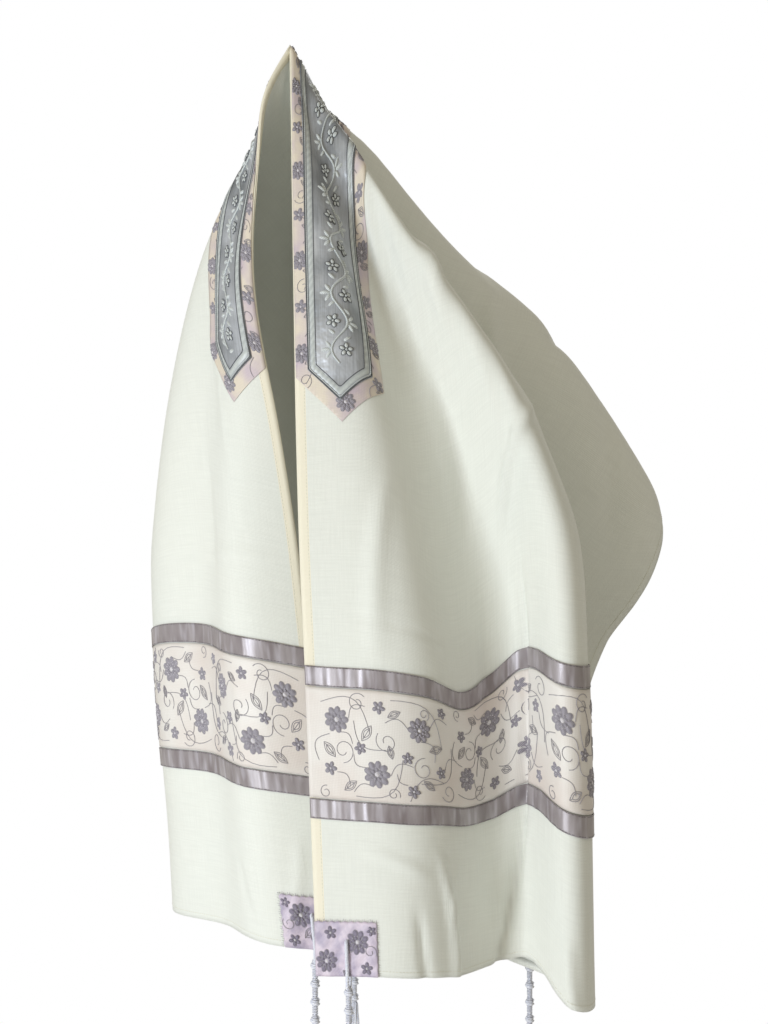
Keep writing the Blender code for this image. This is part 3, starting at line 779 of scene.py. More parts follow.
def organza_finish(name, pale, deep, clouds):
    """Organza: a crisp sheer plain weave with a fine sparkle, deeper in noise clouds: partly its own tint,
    partly painted shade where it stands off the wool.
    """
    finish, tree, shader, cut = new_finish(name)
    lines = []
    for direction in ("X", "Y"):
        wave = add_node(
            tree, "ShaderNodeTexWave",
            {"Vector": cut, "Scale": wave_scale(ORGANZA_NET), "Distortion": 0.5},
            bands_direction=direction,
        )
        lines.append(wave.outputs["Fac"])
    mesh = add_node(tree, "ShaderNodeMath", {0: lines[0], 1: lines[1]}, operation="MULTIPLY").outputs[0]
    cloud = add_node(tree, "ShaderNodeTexNoise", {"Vector": cut, "Scale": clouds, "Detail": 3.0})
    share = add_node(
        tree, "ShaderNodeMapRange", {"Value": cloud.outputs["Fac"], "From Min": 0.42, "From Max": 0.66}
    ).outputs[0]
    # The deeper tone is partly the organza's tint and partly painted shade where the sheer cloth lifts off
    # the wool.
    tone = add_node(
        tree, "ShaderNodeMix", {0: share, 6: linear(pale), 7: linear(deep)}, data_type="RGBA"
    ).outputs[2]
    dark = add_node(tree, "ShaderNodeMapRange", {"Value": mesh, "To Min": 0.94, "To Max": 1.0}).outputs[0]
    shaded = add_node(tree, "ShaderNodeVectorMath", {0: tone, 3: dark}, operation="SCALE").outputs[0]
    tree.links.new(shaded, shader.inputs["Base Color"])
    bump = add_node(tree, "ShaderNodeBump", {"Height": mesh, "Strength": 0.35, "Distance": 0.0002})
    tree.links.new(bump.outputs[0], shader.inputs["Normal"])
    shader.inputs["Roughness"].default_value = 0.5
    shader.inputs["Sheen Weight"].default_value = 0.35
    shader.inputs["Sheen Roughness"].default_value = 0.3
    return finish


def stamp(target, shape, place, index=None):
    """Add a copy of a small mesh to a bmesh, moved by a matrix, with its own finish if one is given."""
    verts, faces = len(target.verts), len(target.faces)
    target.from_mesh(shape)
    target.verts.ensure_lookup_table()
    target.faces.ensure_lookup_table()
    bmesh.ops.transform(target, matrix=place, verts=target.verts[verts:])
    if index is not None:
        for face in target.faces[faces:]:
            face.material_index = index


def as_shape(mesh, name):
    """Keep a bmesh as a small mesh that can be stamped."""
    data = bpy.data.meshes.new(name)
    mesh.to_mesh(data)
    mesh.free()
    return data


def turned(across, down, turn, long=1.0, wide=1.0, high=1.0):
    """A matrix that sizes a shape, turns it in the flat cloth and moves it into place."""
    size = Matrix.Diagonal((long, wide, high, 1))
    return Matrix.Translation((across, down, 0)) @ Matrix.Rotation(turn, 4, "Z") @ size


def petal_shape(segments):
    """A padded satin-stitch petal one unit long and wide each way from its middle, and one unit high."""
    petal = bmesh.new()
    bmesh.ops.create_circle(petal, cap_ends=True, segments=segments, radius=1)
    top = petal.faces[:]
    bmesh.ops.inset_individual(petal, faces=top, thickness=PAD_INSET, depth=PAD_SIDES)
    bmesh.ops.poke(petal, faces=top, offset=PAD_TOP)
    return as_shape(petal, "petal")


THREAD, HEART, VINE = 0, 1, 2
OUTLINE_WIDE = 0.07
OUTLINE_HIGH = 0.0014
HEART_HIGH = 0.0011
BEAD = 0.05
BEAD_HIGH = 0.0016
VINE_HIGH = 0.0003
LEAF_BOW = 0.24
INNER_LEAF = 0.62
CURL_SWEEP = 7.4
CURL_CLOSING = 0.72
petal = petal_shape(10)
bead = petal_shape(6)


def circle_line(middle_across, middle_down, long, wide, turn, count):
    """A closed oval of flat points round a middle."""
    points = []
    for k in range(count):
        angle = 2 * math.pi * k / count
        x, y = long * math.cos(angle), wide * math.sin(angle)
        points.append((
            middle_across + x * math.cos(turn) - y * math.sin(turn),
            middle_down + x * math.sin(turn) + y * math.cos(turn), 0,
        ))
    return points


def flower_shape(rings, heart, beads, beads_out):
    """A flower one unit in radius, its heights in metres: rings of petals, a heart and a ring of beads."""
    flower = bmesh.new()
    outlines = []
    for count, distance, long, wide, high in rings:
        for k in range(count):
            turn = 2 * math.pi * (k + 0.5 * (distance < 0.5)) / count
            across, down = distance * math.cos(turn), distance * math.sin(turn)
            stamp(flower, petal, turned(across, down, turn, long, wide, high), THREAD)
            outlines.append(circle_line(across, down, long, wide, turn, 9))
    verts, faces = len(flower.verts), len(flower.faces)
    threads(outlines, OUTLINE_WIDE, flower, cyclic=True)
    flower.verts.ensure_lookup_table()
    flower.faces.ensure_lookup_table()
    for vert in flower.verts[verts:]:
        vert.co.z *= OUTLINE_HIGH / OUTLINE_WIDE
    for face in flower.faces[faces:]:
        face.material_index = VINE
    stamp(flower, petal, turned(0, 0, 0, heart, heart, HEART_HIGH), HEART)
    # The pale beads are dots for the flowers' sparkle: a painted highlight.
    for k in range(beads):
        turn = 2 * math.pi * (k + 0.25) / beads
        spot = (beads_out * math.cos(turn), beads_out * math.sin(turn))
        stamp(flower, bead, turned(*spot, 0, BEAD, BEAD, BEAD_HIGH), HEART)
    return as_shape(flower, "flower")


LARGE_PETALS = (
    # petals, distance out, half length, half width as shares of the radius, height
    (9, 0.70, 0.31, 0.23, 0.0011),
    (7, 0.36, 0.17, 0.14, 0.0015),
)
SMALL_PETALS = (
    # petals, distance out, half length, half width as shares of the radius, height
    (5, 0.58, 0.41, 0.30, 0.0010),
)
large_flower = flower_shape(LARGE_PETALS, heart=0.17, beads=14, beads_out=0.52)
small_flower = flower_shape(SMALL_PETALS, heart=0.20, beads=3, beads_out=0.12)


def leaf_lines(across, down, length, turn):
    """The outline, inner line and rib of an embroidered leaf."""
    lines = []
    for size in (1.0, INNER_LEAF):
        for bow in (-LEAF_BOW, LEAF_BOW):
            along = np.linspace(0.5 - size / 2, 0.5 + size / 2, 8)
            beside = bow * size * np.sin(np.pi * (along - 0.5 + size / 2) / size)
            lines.append(np.stack([along, beside], axis=1) * length)
    lines.append(np.array([(0.1, 0), (0.9, 0)]) * length)
    spin = np.array([(math.cos(turn), math.sin(turn)), (-math.sin(turn), math.cos(turn))])
    return [line @ spin + (across, down) for line in lines]


def curl_line(across, down, radius, turn):
    """A tendril that curls in on itself."""
    share = np.linspace(0, 1, 22)
    angle = turn + share * CURL_SWEEP
    reach = radius * (1 - CURL_CLOSING * share)
    return np.stack([across + reach * np.cos(angle), down + reach * np.sin(angle)], axis=1)


def stem_line(across_1, down_1, across_2, down_2, bulge):
    """A bowed stem between two places."""
    share = np.linspace(0, 1, 10)[:, None]
    start, end = np.array([across_1, down_1]), np.array([across_2, down_2])
    aside = np.array([-(end - start)[1], (end - start)[0]])
    return start + share * (end - start) + np.sin(np.pi * share) * bulge * aside


def stitch_lines(mesh, lines, width, finish, cyclic=False):
    """Threads along lines, added to a mesh in one of its finishes."""
    faces = len(mesh.faces)
    threads(lines, width, mesh, cyclic=cyclic)
    mesh.faces.ensure_lookup_table()
    for face in mesh.faces[faces:]:
        face.material_index = finish


def embroidery(place, repeats):
    """Flowers, leaves and curls over a number of repeats. place(across, down) gives flat points."""
    mesh = bmesh.new()
    lines = []
    for k in range(repeats):
        flip, shift = (-1) ** k, k * REPEAT
        base = 0 if flip > 0 else FLORAL_BAND
        for flowers, shape in ((LARGE_FLOWERS, large_flower), (SMALL_FLOWERS, small_flower)):
            for across, down, radius, turn in flowers:
                spot = place(base + flip * across, down + shift)
                stamp(mesh, shape, turned(*spot, turn + k, radius, radius))
        for rows, line_of in ((LEAVES, leaf_lines), (CURLS, curl_line), (STEMS, stem_line)):
            for row in rows:
                found = line_of(*row)
                for line in found if line_of is leaf_lines else [found]:
                    lines.append([(*place(base + flip * x, y + shift), VINE_HIGH) for x, y in line])
    stitch_lines(mesh, lines, VINE_WIDE, VINE)
    return mesh


def trim_to(mesh, point, direction):
    """Cut flat work along a straight line and drop the side that the direction points to."""
    bmesh.ops.bisect_plane(
        mesh, geom=mesh.verts[:] + mesh.edges[:] + mesh.faces[:], plane_co=(*point, 0),
        plane_no=(*direction, 0), clear_outer=True,
    )


organza = organza_finish("blush_organza", "#EDE9E5", "#E4DAD4", 11.0)
# The second colour of each thread is its painted glint.
mauve_thread = thread_finish("mauve_embroidery_thread", "#807A87", "#D8D5DD", 0.0009, 0.5)
# Pale thread for the flowers' hearts and for their beads; the beads' whiteness is painted sparkle.
heart_and_sparkle_thread = thread_finish("pale_heart_and_painted_sparkle_thread", "#CFCAD3", "#FFFFFF", 0.0008, 0.35)
vine_thread = thread_finish("grey_vine_thread", "#938F97", "#BAB6BF", 0.0009, 0.55)
for side, word in SIDES:
    edges = sorted((side * (FLORAL + SEAM), side * (LOWER_RIBBON - SEAM)))
    node = f"{word}_floral_band"
    strip = flat_sheet(*edges, TRIM_INSET, SHAWL_WIDTH - TRIM_INSET, TRIM_STEP)
    for vert in strip.verts:
        vert.co.z = (PUCKER + pucker(vert.co.y, side)) / 2
    band = sew(f"{node}_organza", strip, ON_CLOTH, TRIM, [organza], [node])
    work = embroidery(lambda across, down: (side * (FLORAL + across), down + FIRST_REPEAT), REPEATS)
    trim_to(work, (0, SHAWL_WIDTH - BARE_EDGE), (0, 1))
    trim_to(work, (0, BARE_EDGE), (0, -1))
    flowers = sew(
        f"{node}_embroidery", work, ON_CLOTH + TRIM + PUCKER / 2, 0,
        [mauve_thread, heart_and_sparkle_thread, vine_thread],
    )

# Neckband. A pointed strip of silver-grey satin, 66 mm wide, is sewn on an organza backing over the
# nape. A cord, a pale welt and a fine line run round its edge, and a vine in silver thread fills it.
# The cord's dark outer thread, the fine line and the outlines of the vine's flowers are painted shadow.
NECK_BACKING_HALF = 0.392
NECK_BACKING_WIDTH = 0.094
NECK_SATIN_HALF = 0.372
NECK_SATIN_MARGIN = 0.013
NECK_SATIN_WIDTH = 0.066
NECK_EDGE_MARGIN = 0.0015
NECK_STEP = 0.004
WELT_EDGES = (0.0036, 0.0084)
VINE_WAVE = 0.056
VINE_SWING = 0.0075
VINE_STEM = 0.0023
VINE_LEAF = 0.0050
VINE_LEAF_HIGH = 0.0016
VINE_FLOWER = 0.0072
VINE_FLOWER_RISE = 1.6
VINE_FLOWER_ASIDE = 0.0062
VINE_ENDS = 0.034
VINE_POINTS_APART = 0.002
VINE_RISE = 0.0004
CREST_LEAVES = (
    # lean from the crest's own direction, length as a share of the leaf
    (0.0, 1.0),
    (-0.95, 0.9),
    (0.95, 0.9),
)
CREST_LEAF_WIDE = 0.40
CROSSING_LEAF = 0.8
CROSSING_LEAF_WIDE = 0.42
CROSSING_LEAF_TURN = 0.9
CROSSING_LEAF_ALONG = 0.0030
CROSSING_LEAF_ASIDE = 0.0072
OUTLINE_POINTS = 420
WELT_RISE = 0.0007
MARGIN_STEP = 0.046
MARGIN_REPEATS = 8
MARGIN_ROWS = (
    # in from the backing's edge, along from the middle, side: 1 low, -1 high
    (0.0070, 0.0, 1),
    (0.0080, 0.020, -1),
)
MARGIN_LARGE, MARGIN_SMALL = 0.0096, 0.0070
MARGIN_SPRAY = (
    # along and in from the flower: the leaf, the stem's end, the curl
    (0.011, 0.003),
    (0.030, 0.004),
    (0.027, 0.003),
)
MARGIN_LEAF = 0.013
MARGIN_CURL = 0.0085
TIP_FLOWER = 0.0098
TIP_FLOWER_IN = 0.019
TIP_FLOWER_ASIDE = 0.004


def pointed_strip(half, low, high):
    """A flat strip whose two ends are cut to points."""
    strip = flat_sheet(-half, half, low, high, NECK_STEP)
    middle = (low + high) / 2
    for side in (-1, 1):
        for slant in (-1, 1):
            trim_to(strip, (side * half, middle), (side, slant))
    return strip


def strip_outline(half, low, high, inset):
    """The outline of a pointed strip, drawn in by an inset, as evenly spaced flat points."""
    middle, rise = (low + high) / 2, (high - low) / 2 - inset
    tip = half - inset * math.sqrt(2)
    corners = np.array([
        (-tip, middle), (-tip + rise, middle - rise), (tip - rise, middle - rise), (tip, middle),
        (tip - rise, middle + rise), (-tip + rise, middle + rise), (-tip, middle),
    ])
    return resample(corners, np.linspace(0, arc_lengths(corners)[-1], OUTLINE_POINTS)[:-1])


def satin_finish():
    """Duchesse satin: silver-grey warp floats run its length, so it is bright along and soft across; its
    sheen is also painted in, as broad lighter and darker patches and fine lengthwise streaks.
    """
    finish, tree, shader, cut = new_finish("silver_duchesse_satin")
    run = add_node(tree, "ShaderNodeMapping", {"Vector": cut, "Scale": (22, 900, 1)})
    fibres_and_painted_streaks = add_node(
        tree, "ShaderNodeTexNoise", {"Vector": run.outputs[0], "Scale": 1.0, "Detail": 2.0}
    ).outputs["Fac"]
    # Painted sheen: broad noise patches shift the grey between a shaded tone and a lit one.
    painted_sheen_patches = add_node(tree, "ShaderNodeTexNoise", {"Vector": cut, "Scale": 16.0, "Detail": 2.0})
    share = add_node(
        tree, "ShaderNodeMapRange", {"Value": painted_sheen_patches.outputs["Fac"], "From Min": 0.36, "From Max": 0.64}
    ).outputs[0]
    tone = add_node(
        tree, "ShaderNodeMix", {0: share, 6: linear("#868B92"), 7: linear("#C6CAD2")}, data_type="RGBA"
    ).outputs[2]
    # Painted sheen streaks: the fibre noise lightens and darkens the colour along the length. The same
    # noise also gives the fibres' bump.
    line = add_node(
        tree, "ShaderNodeMapRange",
        {"Value": fibres_and_painted_streaks, "From Min": 0.35, "From Max": 0.65, "To Min": 0.86, "To Max": 1.08},
    ).outputs[0]
    shaded = add_node(tree, "ShaderNodeVectorMath", {0: tone, 3: line}, operation="SCALE").outputs[0]
    tree.links.new(shaded, shader.inputs["Base Color"])
    ripple = add_node(tree, "ShaderNodeTexNoise", {"Vector": cut, "Scale": 75.0, "Detail": 2.0})
    soft = add_node(
        tree, "ShaderNodeBump", {"Height": ripple.outputs["Fac"], "Strength": 0.6, "Distance": 0.0030}
    )
    bump = add_node(
        tree, "ShaderNodeBump",
        {"Height": fibres_and_painted_streaks, "Strength": 0.35, "Distance": 0.0002, "Normal": soft.outputs[0]},
    )
    tree.links.new(bump.outputs[0], shader.inputs["Normal"])
    shader.inputs["Metallic"].default_value = 0.25
    shader.inputs["Roughness"].default_value = 0.36
    shader.inputs["Anisotropic"].default_value = 0.3
    return finish


silver_satin = satin_finish()
# The second colour of each thread is its painted glint.
silver_thread = thread_finish("silver_embroidery_thread", "#BCC3C5", "#F4F7F7", 0.0011, 0.35)
# Painted shadow: a dark thread for the shaded side of the edge cord, the fine line beside the welt and the
# outlines of the vine's flowers.
shadow_thread = thread_finish("painted_shadow_cord", "#505257", "#7C7F85", 0.0010)
welt_satin = thread_finish("pale_satin_welt", "#B4BABB", "#D2D7D6", 0.0040, 0.35)

neck_organza = organza_finish("beige_and_mauve_organza", "#E6DBCB", "#CDBEC9", 26.0)
back_low, back_high = NECK_EDGE_MARGIN, NECK_EDGE_MARGIN + NECK_BACKING_WIDTH
back_middle = (back_low + back_high) / 2
low, high = back_low + NECK_SATIN_MARGIN, back_low + NECK_SATIN_MARGIN + NECK_SATIN_WIDTH
backing = sew(
    "neckband_organza", pointed_strip(NECK_BACKING_HALF, back_low, back_high), ON_CLOTH, TRIM,
    [neck_organza], ["neckband_backing"],
)
satin_out = ON_CLOTH + TRIM + SEAM
strip = sew(
    "neckband_strip", pointed_strip(NECK_SATIN_HALF, low, high), satin_out, TRIM, [silver_satin],
    ["neckband_satin"],
)

BORDER_CORDS = (
    # in from the strip's edge, width, rise, finish: 0 silver, 1 dark painted-shadow thread
    (0.0009, 0.0012, 0.0004, 1),
    (0.0023, 0.0011, 0.0005, 0),
    (0.0092, 0.0008, 0.0002, 1),
)
border = bmesh.new()
for inset, width, rise, finish in BORDER_CORDS:
    line = [(x, y, rise) for x, y in strip_outline(NECK_SATIN_HALF, low, high, inset)]
    stitch_lines(border, [line], width, finish, cyclic=True)
welt_edges = []
for rise, inset in ((0.0, WELT_EDGES[0]), (WELT_RISE, sum(WELT_EDGES) / 2), (0.0, WELT_EDGES[1])):
    ring = [border.verts.new((x, y, rise)) for x, y in strip_outline(NECK_SATIN_HALF, low, high, inset)]
    welt_edges.append([border.edges.new((a, b)) for a, b in zip(ring, ring[1:] + ring[:1])])
for outer, inner in zip(welt_edges, welt_edges[1:]):
    for face in bmesh.ops.bridge_loops(border, edges=outer + inner)["faces"]:
        face.material_index = 2
        if face.normal.z < 0:
            face.normal_flip()
borders = sew(
    "neckband_borders", border, satin_out + TRIM, 0, [silver_thread, shadow_thread, welt_satin],
)

ornament = bmesh.new()
middle = (low + high) / 2
half_vine = NECK_SATIN_HALF - VINE_ENDS
stem = [
    (x, middle + VINE_SWING * math.sin(2 * math.pi * x / VINE_WAVE), VINE_RISE)
    for x in np.arange(-half_vine, half_vine, VINE_POINTS_APART)
]
threads([stem], VINE_STEM, ornament)
turns = int(half_vine / (VINE_WAVE / 2))
for k in range(-turns, turns):
    start = k * VINE_WAVE / 2
    crest = start + VINE_WAVE / 4
    up = 1 if k % 2 == 0 else -1
    size = (VINE_FLOWER, VINE_FLOWER, VINE_FLOWER_RISE)
    stamp(ornament, small_flower, turned(crest, middle - up * VINE_FLOWER_ASIDE, 0.4 * k, *size))
    for lean, length in CREST_LEAVES:
        long = VINE_LEAF * length
        turn = math.pi / 2 * up + lean
        reach = VINE_STEM / 2 + long
        spot = (crest + reach * math.cos(turn), middle + up * VINE_SWING + reach * math.sin(turn))
        stamp(ornament, petal, turned(*spot, turn, long, long * CREST_LEAF_WIDE, VINE_LEAF_HIGH), THREAD)
    for aside in (-1, 1):
        long = VINE_LEAF * CROSSING_LEAF
        spot = (start + aside * CROSSING_LEAF_ALONG, middle + aside * CROSSING_LEAF_ASIDE)
        size = (long, long * CROSSING_LEAF_WIDE, VINE_LEAF_HIGH)
        stamp(ornament, petal, turned(*spot, CROSSING_LEAF_TURN * up * aside, *size), THREAD)
# The third finish puts the dark painted-shadow thread on the flowers' outlines.
vine_work = sew(
    "neckband_vine", ornament, satin_out + TRIM, 0, [silver_thread, silver_thread, shadow_thread],
)

edging = bmesh.new()
curls = []
for k in range(-MARGIN_REPEATS, MARGIN_REPEATS + 1):
    for inset, shift, way in MARGIN_ROWS:
        large = (k + (shift > 0)) % 2
        flower, radius = (large_flower, MARGIN_LARGE) if large else (small_flower, MARGIN_SMALL)
        along, margin = k * MARGIN_STEP + shift, (back_low if way > 0 else back_high) + way * inset
        stamp(edging, flower, turned(along, margin, 0.7 * k, radius, radius))
        leaf, end, curl = ((along + ahead, margin + inward * way) for ahead, inward in MARGIN_SPRAY)
        curls += leaf_lines(*leaf, MARGIN_LEAF, 0.3 * k)
        curls.append(stem_line(along, margin, *end, 0.3 * way))
        if k % 2:
            curls.append(curl_line(*curl, MARGIN_CURL, 1.7 * k))
for side in (-1, 1):
    tip = (side * (NECK_BACKING_HALF - TIP_FLOWER_IN), back_middle + TIP_FLOWER_ASIDE)
    stamp(edging, large_flower, turned(*tip, side, TIP_FLOWER, TIP_FLOWER))
stitch_lines(edging, [[(x, y, VINE_HIGH) for x, y in line] for line in curls], VINE_WIDE, VINE)
for side in (-1, 1):
    for slant in (1, -1):
        trim_to(edging, (side * (NECK_BACKING_HALF - BARE_EDGE), back_middle), (side, slant))
trim_to(edging, (0, back_low + BARE_EDGE / 2), (0, -1))
trim_to(edging, (0, back_high - BARE_EDGE / 2), (0, 1))
hidden = [
    face for face in edging.faces
    if low < face.calc_center_median().y < high
    and abs(face.calc_center_median().x) + abs(face.calc_center_median().y - middle) < NECK_SATIN_HALF
]
bmesh.ops.delete(edging, geom=hidden, context="FACES")
neck_flowers = sew(
    "neckband_flowers", edging, ON_CLOTH + TRIM, 0, [mauve_thread, heart_and_sparkle_thread, vine_thread],
)

# Corner patches. A piece of lavender embroidered organza strengthens each corner round the eyelet. Its
# edges are cut and left raw, a little frayed, and the sheer cloth lies in small wrinkles.
PATCH_ACROSS = 0.066
PATCH_DOWN = 0.052
EYELET_INSET = 0.034
PATCH_STEP = 0.002
FRAY_LONG = 0.0022
FRAY_WIDE = 0.00035
FRAY_RISE = 0.0003
FRAY_SLANT = 0.7
RAGGED = 0.0007
RAGGED_EDGE = 900
RAGGED_THREAD = 2300
WRINKLE = 0.0004
WRINKLES = (
    # radians a metre across and down
    (150, 330),
    (210, 60),
)
PATCH_BARE = 0.0006


def patch_finish():
    """Dyed organza: lavender, blotched with deeper violet in noise clouds."""
    finish, tree, shader, cut = new_finish("lavender_dyed_organza")
    cloud = add_node(tree, "ShaderNodeTexNoise", {"Vector": cut, "Scale": 70.0, "Detail": 4.0})
    share = add_node(
        tree, "ShaderNodeMapRange", {"Value": cloud.outputs["Fac"], "From Min": 0.40, "From Max": 0.66}
    ).outputs[0]
    tone = add_node(
        tree, "ShaderNodeMix", {0: share, 6: linear("#DBCEDD"), 7: linear("#ADA3BB")}, data_type="RGBA"
    ).outputs[2]
    net = add_node(
        tree, "ShaderNodeTexWave", {"Vector": cut, "Scale": wave_scale(ORGANZA_NET)},
        bands_direction="DIAGONAL",
    ).outputs["Fac"]
    bump = add_node(tree, "ShaderNodeBump", {"Height": net, "Strength": 0.3, "Distance": 0.0002})
    tree.links.new(tone, shader.inputs["Base Color"])
    tree.links.new(bump.outputs[0], shader.inputs["Normal"])
    shader.inputs["Roughness"].default_value = 0.45
    shader.inputs["Sheen Weight"].default_value = 0.4
    return finish


lavender = patch_finish()
# The second colour is the thread's painted glint.
dusk_thread = thread_finish("dusk_embroidery_thread", "#6E667B", "#B8B1C4", 0.0009, 0.45)
PATCH_FLOWERS = (
    # across from the inner edge, down from the middle, flower, radius
    (0.019, 0.012, large_flower, 0.0120),
    (0.037, -0.021, large_flower, 0.0110),
    (0.010, -0.016, small_flower, 0.0066),
    (0.044, 0.021, small_flower, 0.0064),
    (0.008, 0.027, small_flower, 0.0050),
)
PATCH_LEAVES = (
    # across from the inner edge, down from the middle, length, turn
    (0.030, 0.000, 0.015, 2.4),
    (0.046, -0.004, 0.012, 0.8),
)
PATCH_CURL = (0.028, 0.025, 0.0070, 1.0)
PATCH_PLACES = (("front", 0.0, PATCH_ACROSS), ("far", SHAWL_WIDTH - PATCH_ACROSS, SHAWL_WIDTH))
for side, word in SIDES:
    for corner, near, far in PATCH_PLACES:
        node = f"{word}_{corner}_patch"
        inner, outer = HALF - PATCH_DOWN, HALF
        edges = sorted((side * inner, side * outer))
        flat = flat_sheet(*edges, near, far, PATCH_STEP)
        raw, hemmed, away = (far, near, 1) if corner == "front" else (near, far, -1)
        fringe = []
        for vert in flat.verts:
            x, y = vert.co.x, vert.co.y
            ragged = RAGGED * (math.sin(RAGGED_EDGE * y + 7 * side) + math.sin(RAGGED_THREAD * x + 5 * y))
            slant = FRAY_SLANT * ragged
            if abs(abs(x) - inner) < PATCH_STEP / 2:
                vert.co.x += side * ragged
                fringe.append([(vert.co.x, y, 0), (vert.co.x - side * FRAY_LONG, y + slant, FRAY_RISE)])
            if abs(y - raw) < PATCH_STEP / 2:
                vert.co.y -= away * abs(ragged)
                fringe.append([(x, vert.co.y, 0), (x + slant, vert.co.y + away * FRAY_LONG, FRAY_RISE)])
            first, second = (math.sin(turn_1 * x + turn_2 * y) for turn_1, turn_2 in WRINKLES)
            vert.co.z = WRINKLE + WRINKLE * first * second
        patch = sew(node + "_organza", flat, ON_CLOTH, TRIM, [lavender], [node])
        work = bmesh.new()
        centre = (near + far) / 2
        for across, down, shape, radius in PATCH_FLOWERS:
            spot = (side * (inner + across), centre + down)
            stamp(work, shape, turned(*spot, 3 * across / radius, radius, radius))
        lines = []
        for across, down, length, turn in PATCH_LEAVES:
            lines += leaf_lines(side * (inner + across), centre + down, length, turn)
        across, down, radius, turn = PATCH_CURL
        lines.append(curl_line(side * (inner + across), centre + down, radius, turn))
        stitch_lines(work, [[(x, y, VINE_RISE) for x, y in line] for line in lines], VINE_WIDE, VINE)
        stitch_lines(work, fringe, FRAY_WIDE, VINE)
        trim_to(work, (side * (outer - PATCH_BARE), 0), (side, 0))
        trim_to(work, (0, hemmed + away * PATCH_BARE), (0, -away))
        blooms = sew(
            node + "_embroidery", work, ON_CLOTH + TRIM + WRINKLE, 0,
            [dusk_thread, heart_and_sparkle_thread, vine_thread],
        )

# Tassels. White two-ply wool is threaded through the eyelet of each patch, knotted under the hem, wound
# with the longer thread between five double knots, and left to hang in eight free strands.
LOOP_CORD = 0.0040
LOOP_PLY = 0.56
LOOP_PITCH = 0.008
LOOP_AT_HEM = 0.0015
LOOP_DROPS = (0.005, 0.011, 0.015)
LOOP_OFF_PATCH = 0.0012
LOOP_OFF_WOOL = 0.0016
LOOP_BULGE = 0.1
TASSEL_HEAD_WIDTH = 0.0062
TASSEL_HEAD = 0.088
TASSEL_KNOTS = 5
TASSEL_TAIL = 0.135
TAIL_UNEVEN = 0.10
STRANDS = 8
STRAND_WIDTH = 0.0024
STRAND_PLY = 0.62
STRAND_PITCH = 0.0045
STRAND_ROOTS = 0.0029
STRAND_FLARE = 0.006
STRAND_WAVE = 0.0030
STRAND_POINTS = 13
WINDING = 0.0013
WINDING_PITCH = WINDING * 1.15
WINDING_ENDS = 0.0005
KNOT_CORD = 0.0022
KNOT_TURNS = (
    # half height, distance off the core, pitch
    (0.0028, 0.0015, 0.0028),
    (0.0020, 0.0022, 0.0040),
)
FEWEST_POINTS = 8
ACROSS_CORDS = (0.31, 0.94, 0.12)


def wool_thread_finish():
    """Twisted wool yarn: chalky white, fuzzy and quite matt, with painted blue-grey shade for its hollows,
    laid in fine noise.
    """
    finish, tree, shader, _ = new_finish("twisted_white_wool")
    place = add_node(tree, "ShaderNodeTexCoord").outputs["Object"]
    fuzz_and_painted_shade = add_node(
        tree, "ShaderNodeTexNoise", {"Vector": place, "Scale": 900.0, "Detail": 3.0}
    ).outputs["Fac"]
    share = add_node(
        tree, "ShaderNodeMapRange", {"Value": fuzz_and_painted_shade, "From Min": 0.35, "From Max": 0.65}
    ).outputs[0]
    # Painted shade: the blue-grey tone stands in for shade in the yarn's hollows.
    tone = add_node(
        tree, "ShaderNodeMix", {0: share, 6: linear("#D3D7EA"), 7: linear("#F3F4FA")}, data_type="RGBA"
    ).outputs[2]
    bump = add_node(tree, "ShaderNodeBump", {"Height": fuzz_and_painted_shade, "Strength": 0.6, "Distance": 0.0003})
    tree.links.new(tone, shader.inputs["Base Color"])
    tree.links.new(bump.outputs[0], shader.inputs["Normal"])
    shader.inputs["Roughness"].default_value = 0.85
    shader.inputs["Sheen Weight"].default_value = 0.4
    return finish


def twisted(points, width, pitch, plies=2, step=0.0011):
    """The lines of the plies that twist round a centre line to make a cord of a given width."""
    path = np.array(points)
    along = arc_lengths(path)
    at = np.linspace(0, along[-1], max(FEWEST_POINTS, int(along[-1] / step)))
    centre = np.stack([np.interp(at, along, path[:, k]) for k in range(3)], axis=1)
    forward = np.gradient(centre, axis=0)
    forward /= np.linalg.norm(forward, axis=1)[:, None]
    aside = np.cross(forward, ACROSS_CORDS)
    aside /= np.linalg.norm(aside, axis=1)[:, None]
    third = np.cross(forward, aside)
    lines = []
    for ply in range(plies):
        angle = 2 * math.pi * (at / pitch + ply / plies)
        lines.append(centre + width / 4 * (np.cos(angle)[:, None] * aside + np.sin(angle)[:, None] * third))
    return lines


def helix(top, start, end, radius, pitch, steps_a_turn=12):
    """A winding round an upright core, from one depth below its top to another."""
    count = max(FEWEST_POINTS, int((end - start) / pitch * steps_a_turn))
    depth = np.linspace(start, end, count)
    angle = 2 * math.pi * (depth - start) / pitch
    return np.stack([
        top[0] + radius * np.cos(angle), top[1] + radius * np.sin(angle), top[2] - depth
    ], axis=1)


def tassel_paths(side, eyelet_down):
    """The loop's line through the eyelet and round the hem, and the top of the wound head."""
    radius = LOOP_CORD / 2
    front = ON_CLOTH + TRIM + LOOP_OFF_PATCH + radius
    back = -(CLOTH / 2 + LOOP_OFF_WOOL + radius)
    rises = (EYELET_INSET, EYELET_INSET / 2, LOOP_AT_HEM)
    places = []
    for out, order in ((front, rises), (back, rises[::-1])):
        across = np.array([side * (HALF - rise) for rise in order])
        places.append(on_cloth(across, np.full(3, eyelet_down), np.full(3, out)))
    face, inside = places
    near, far, lowest = LOOP_DROPS
    down = np.array([0, 0, 1.0])
    below = [face[-1] - down * drop for drop in (near, far)]
    behind = [inside[0] - down * drop for drop in (far, near)]
    turn = (face[-1] + inside[0]) / 2 - down * lowest
    eyelet = (face[0] + inside[-1]) / 2 + (face[0] - inside[-1]) * LOOP_BULGE
    line = [eyelet, *face, *below, turn, *behind, *inside]
    return np.array(line), (below[-1] + behind[0]) / 2


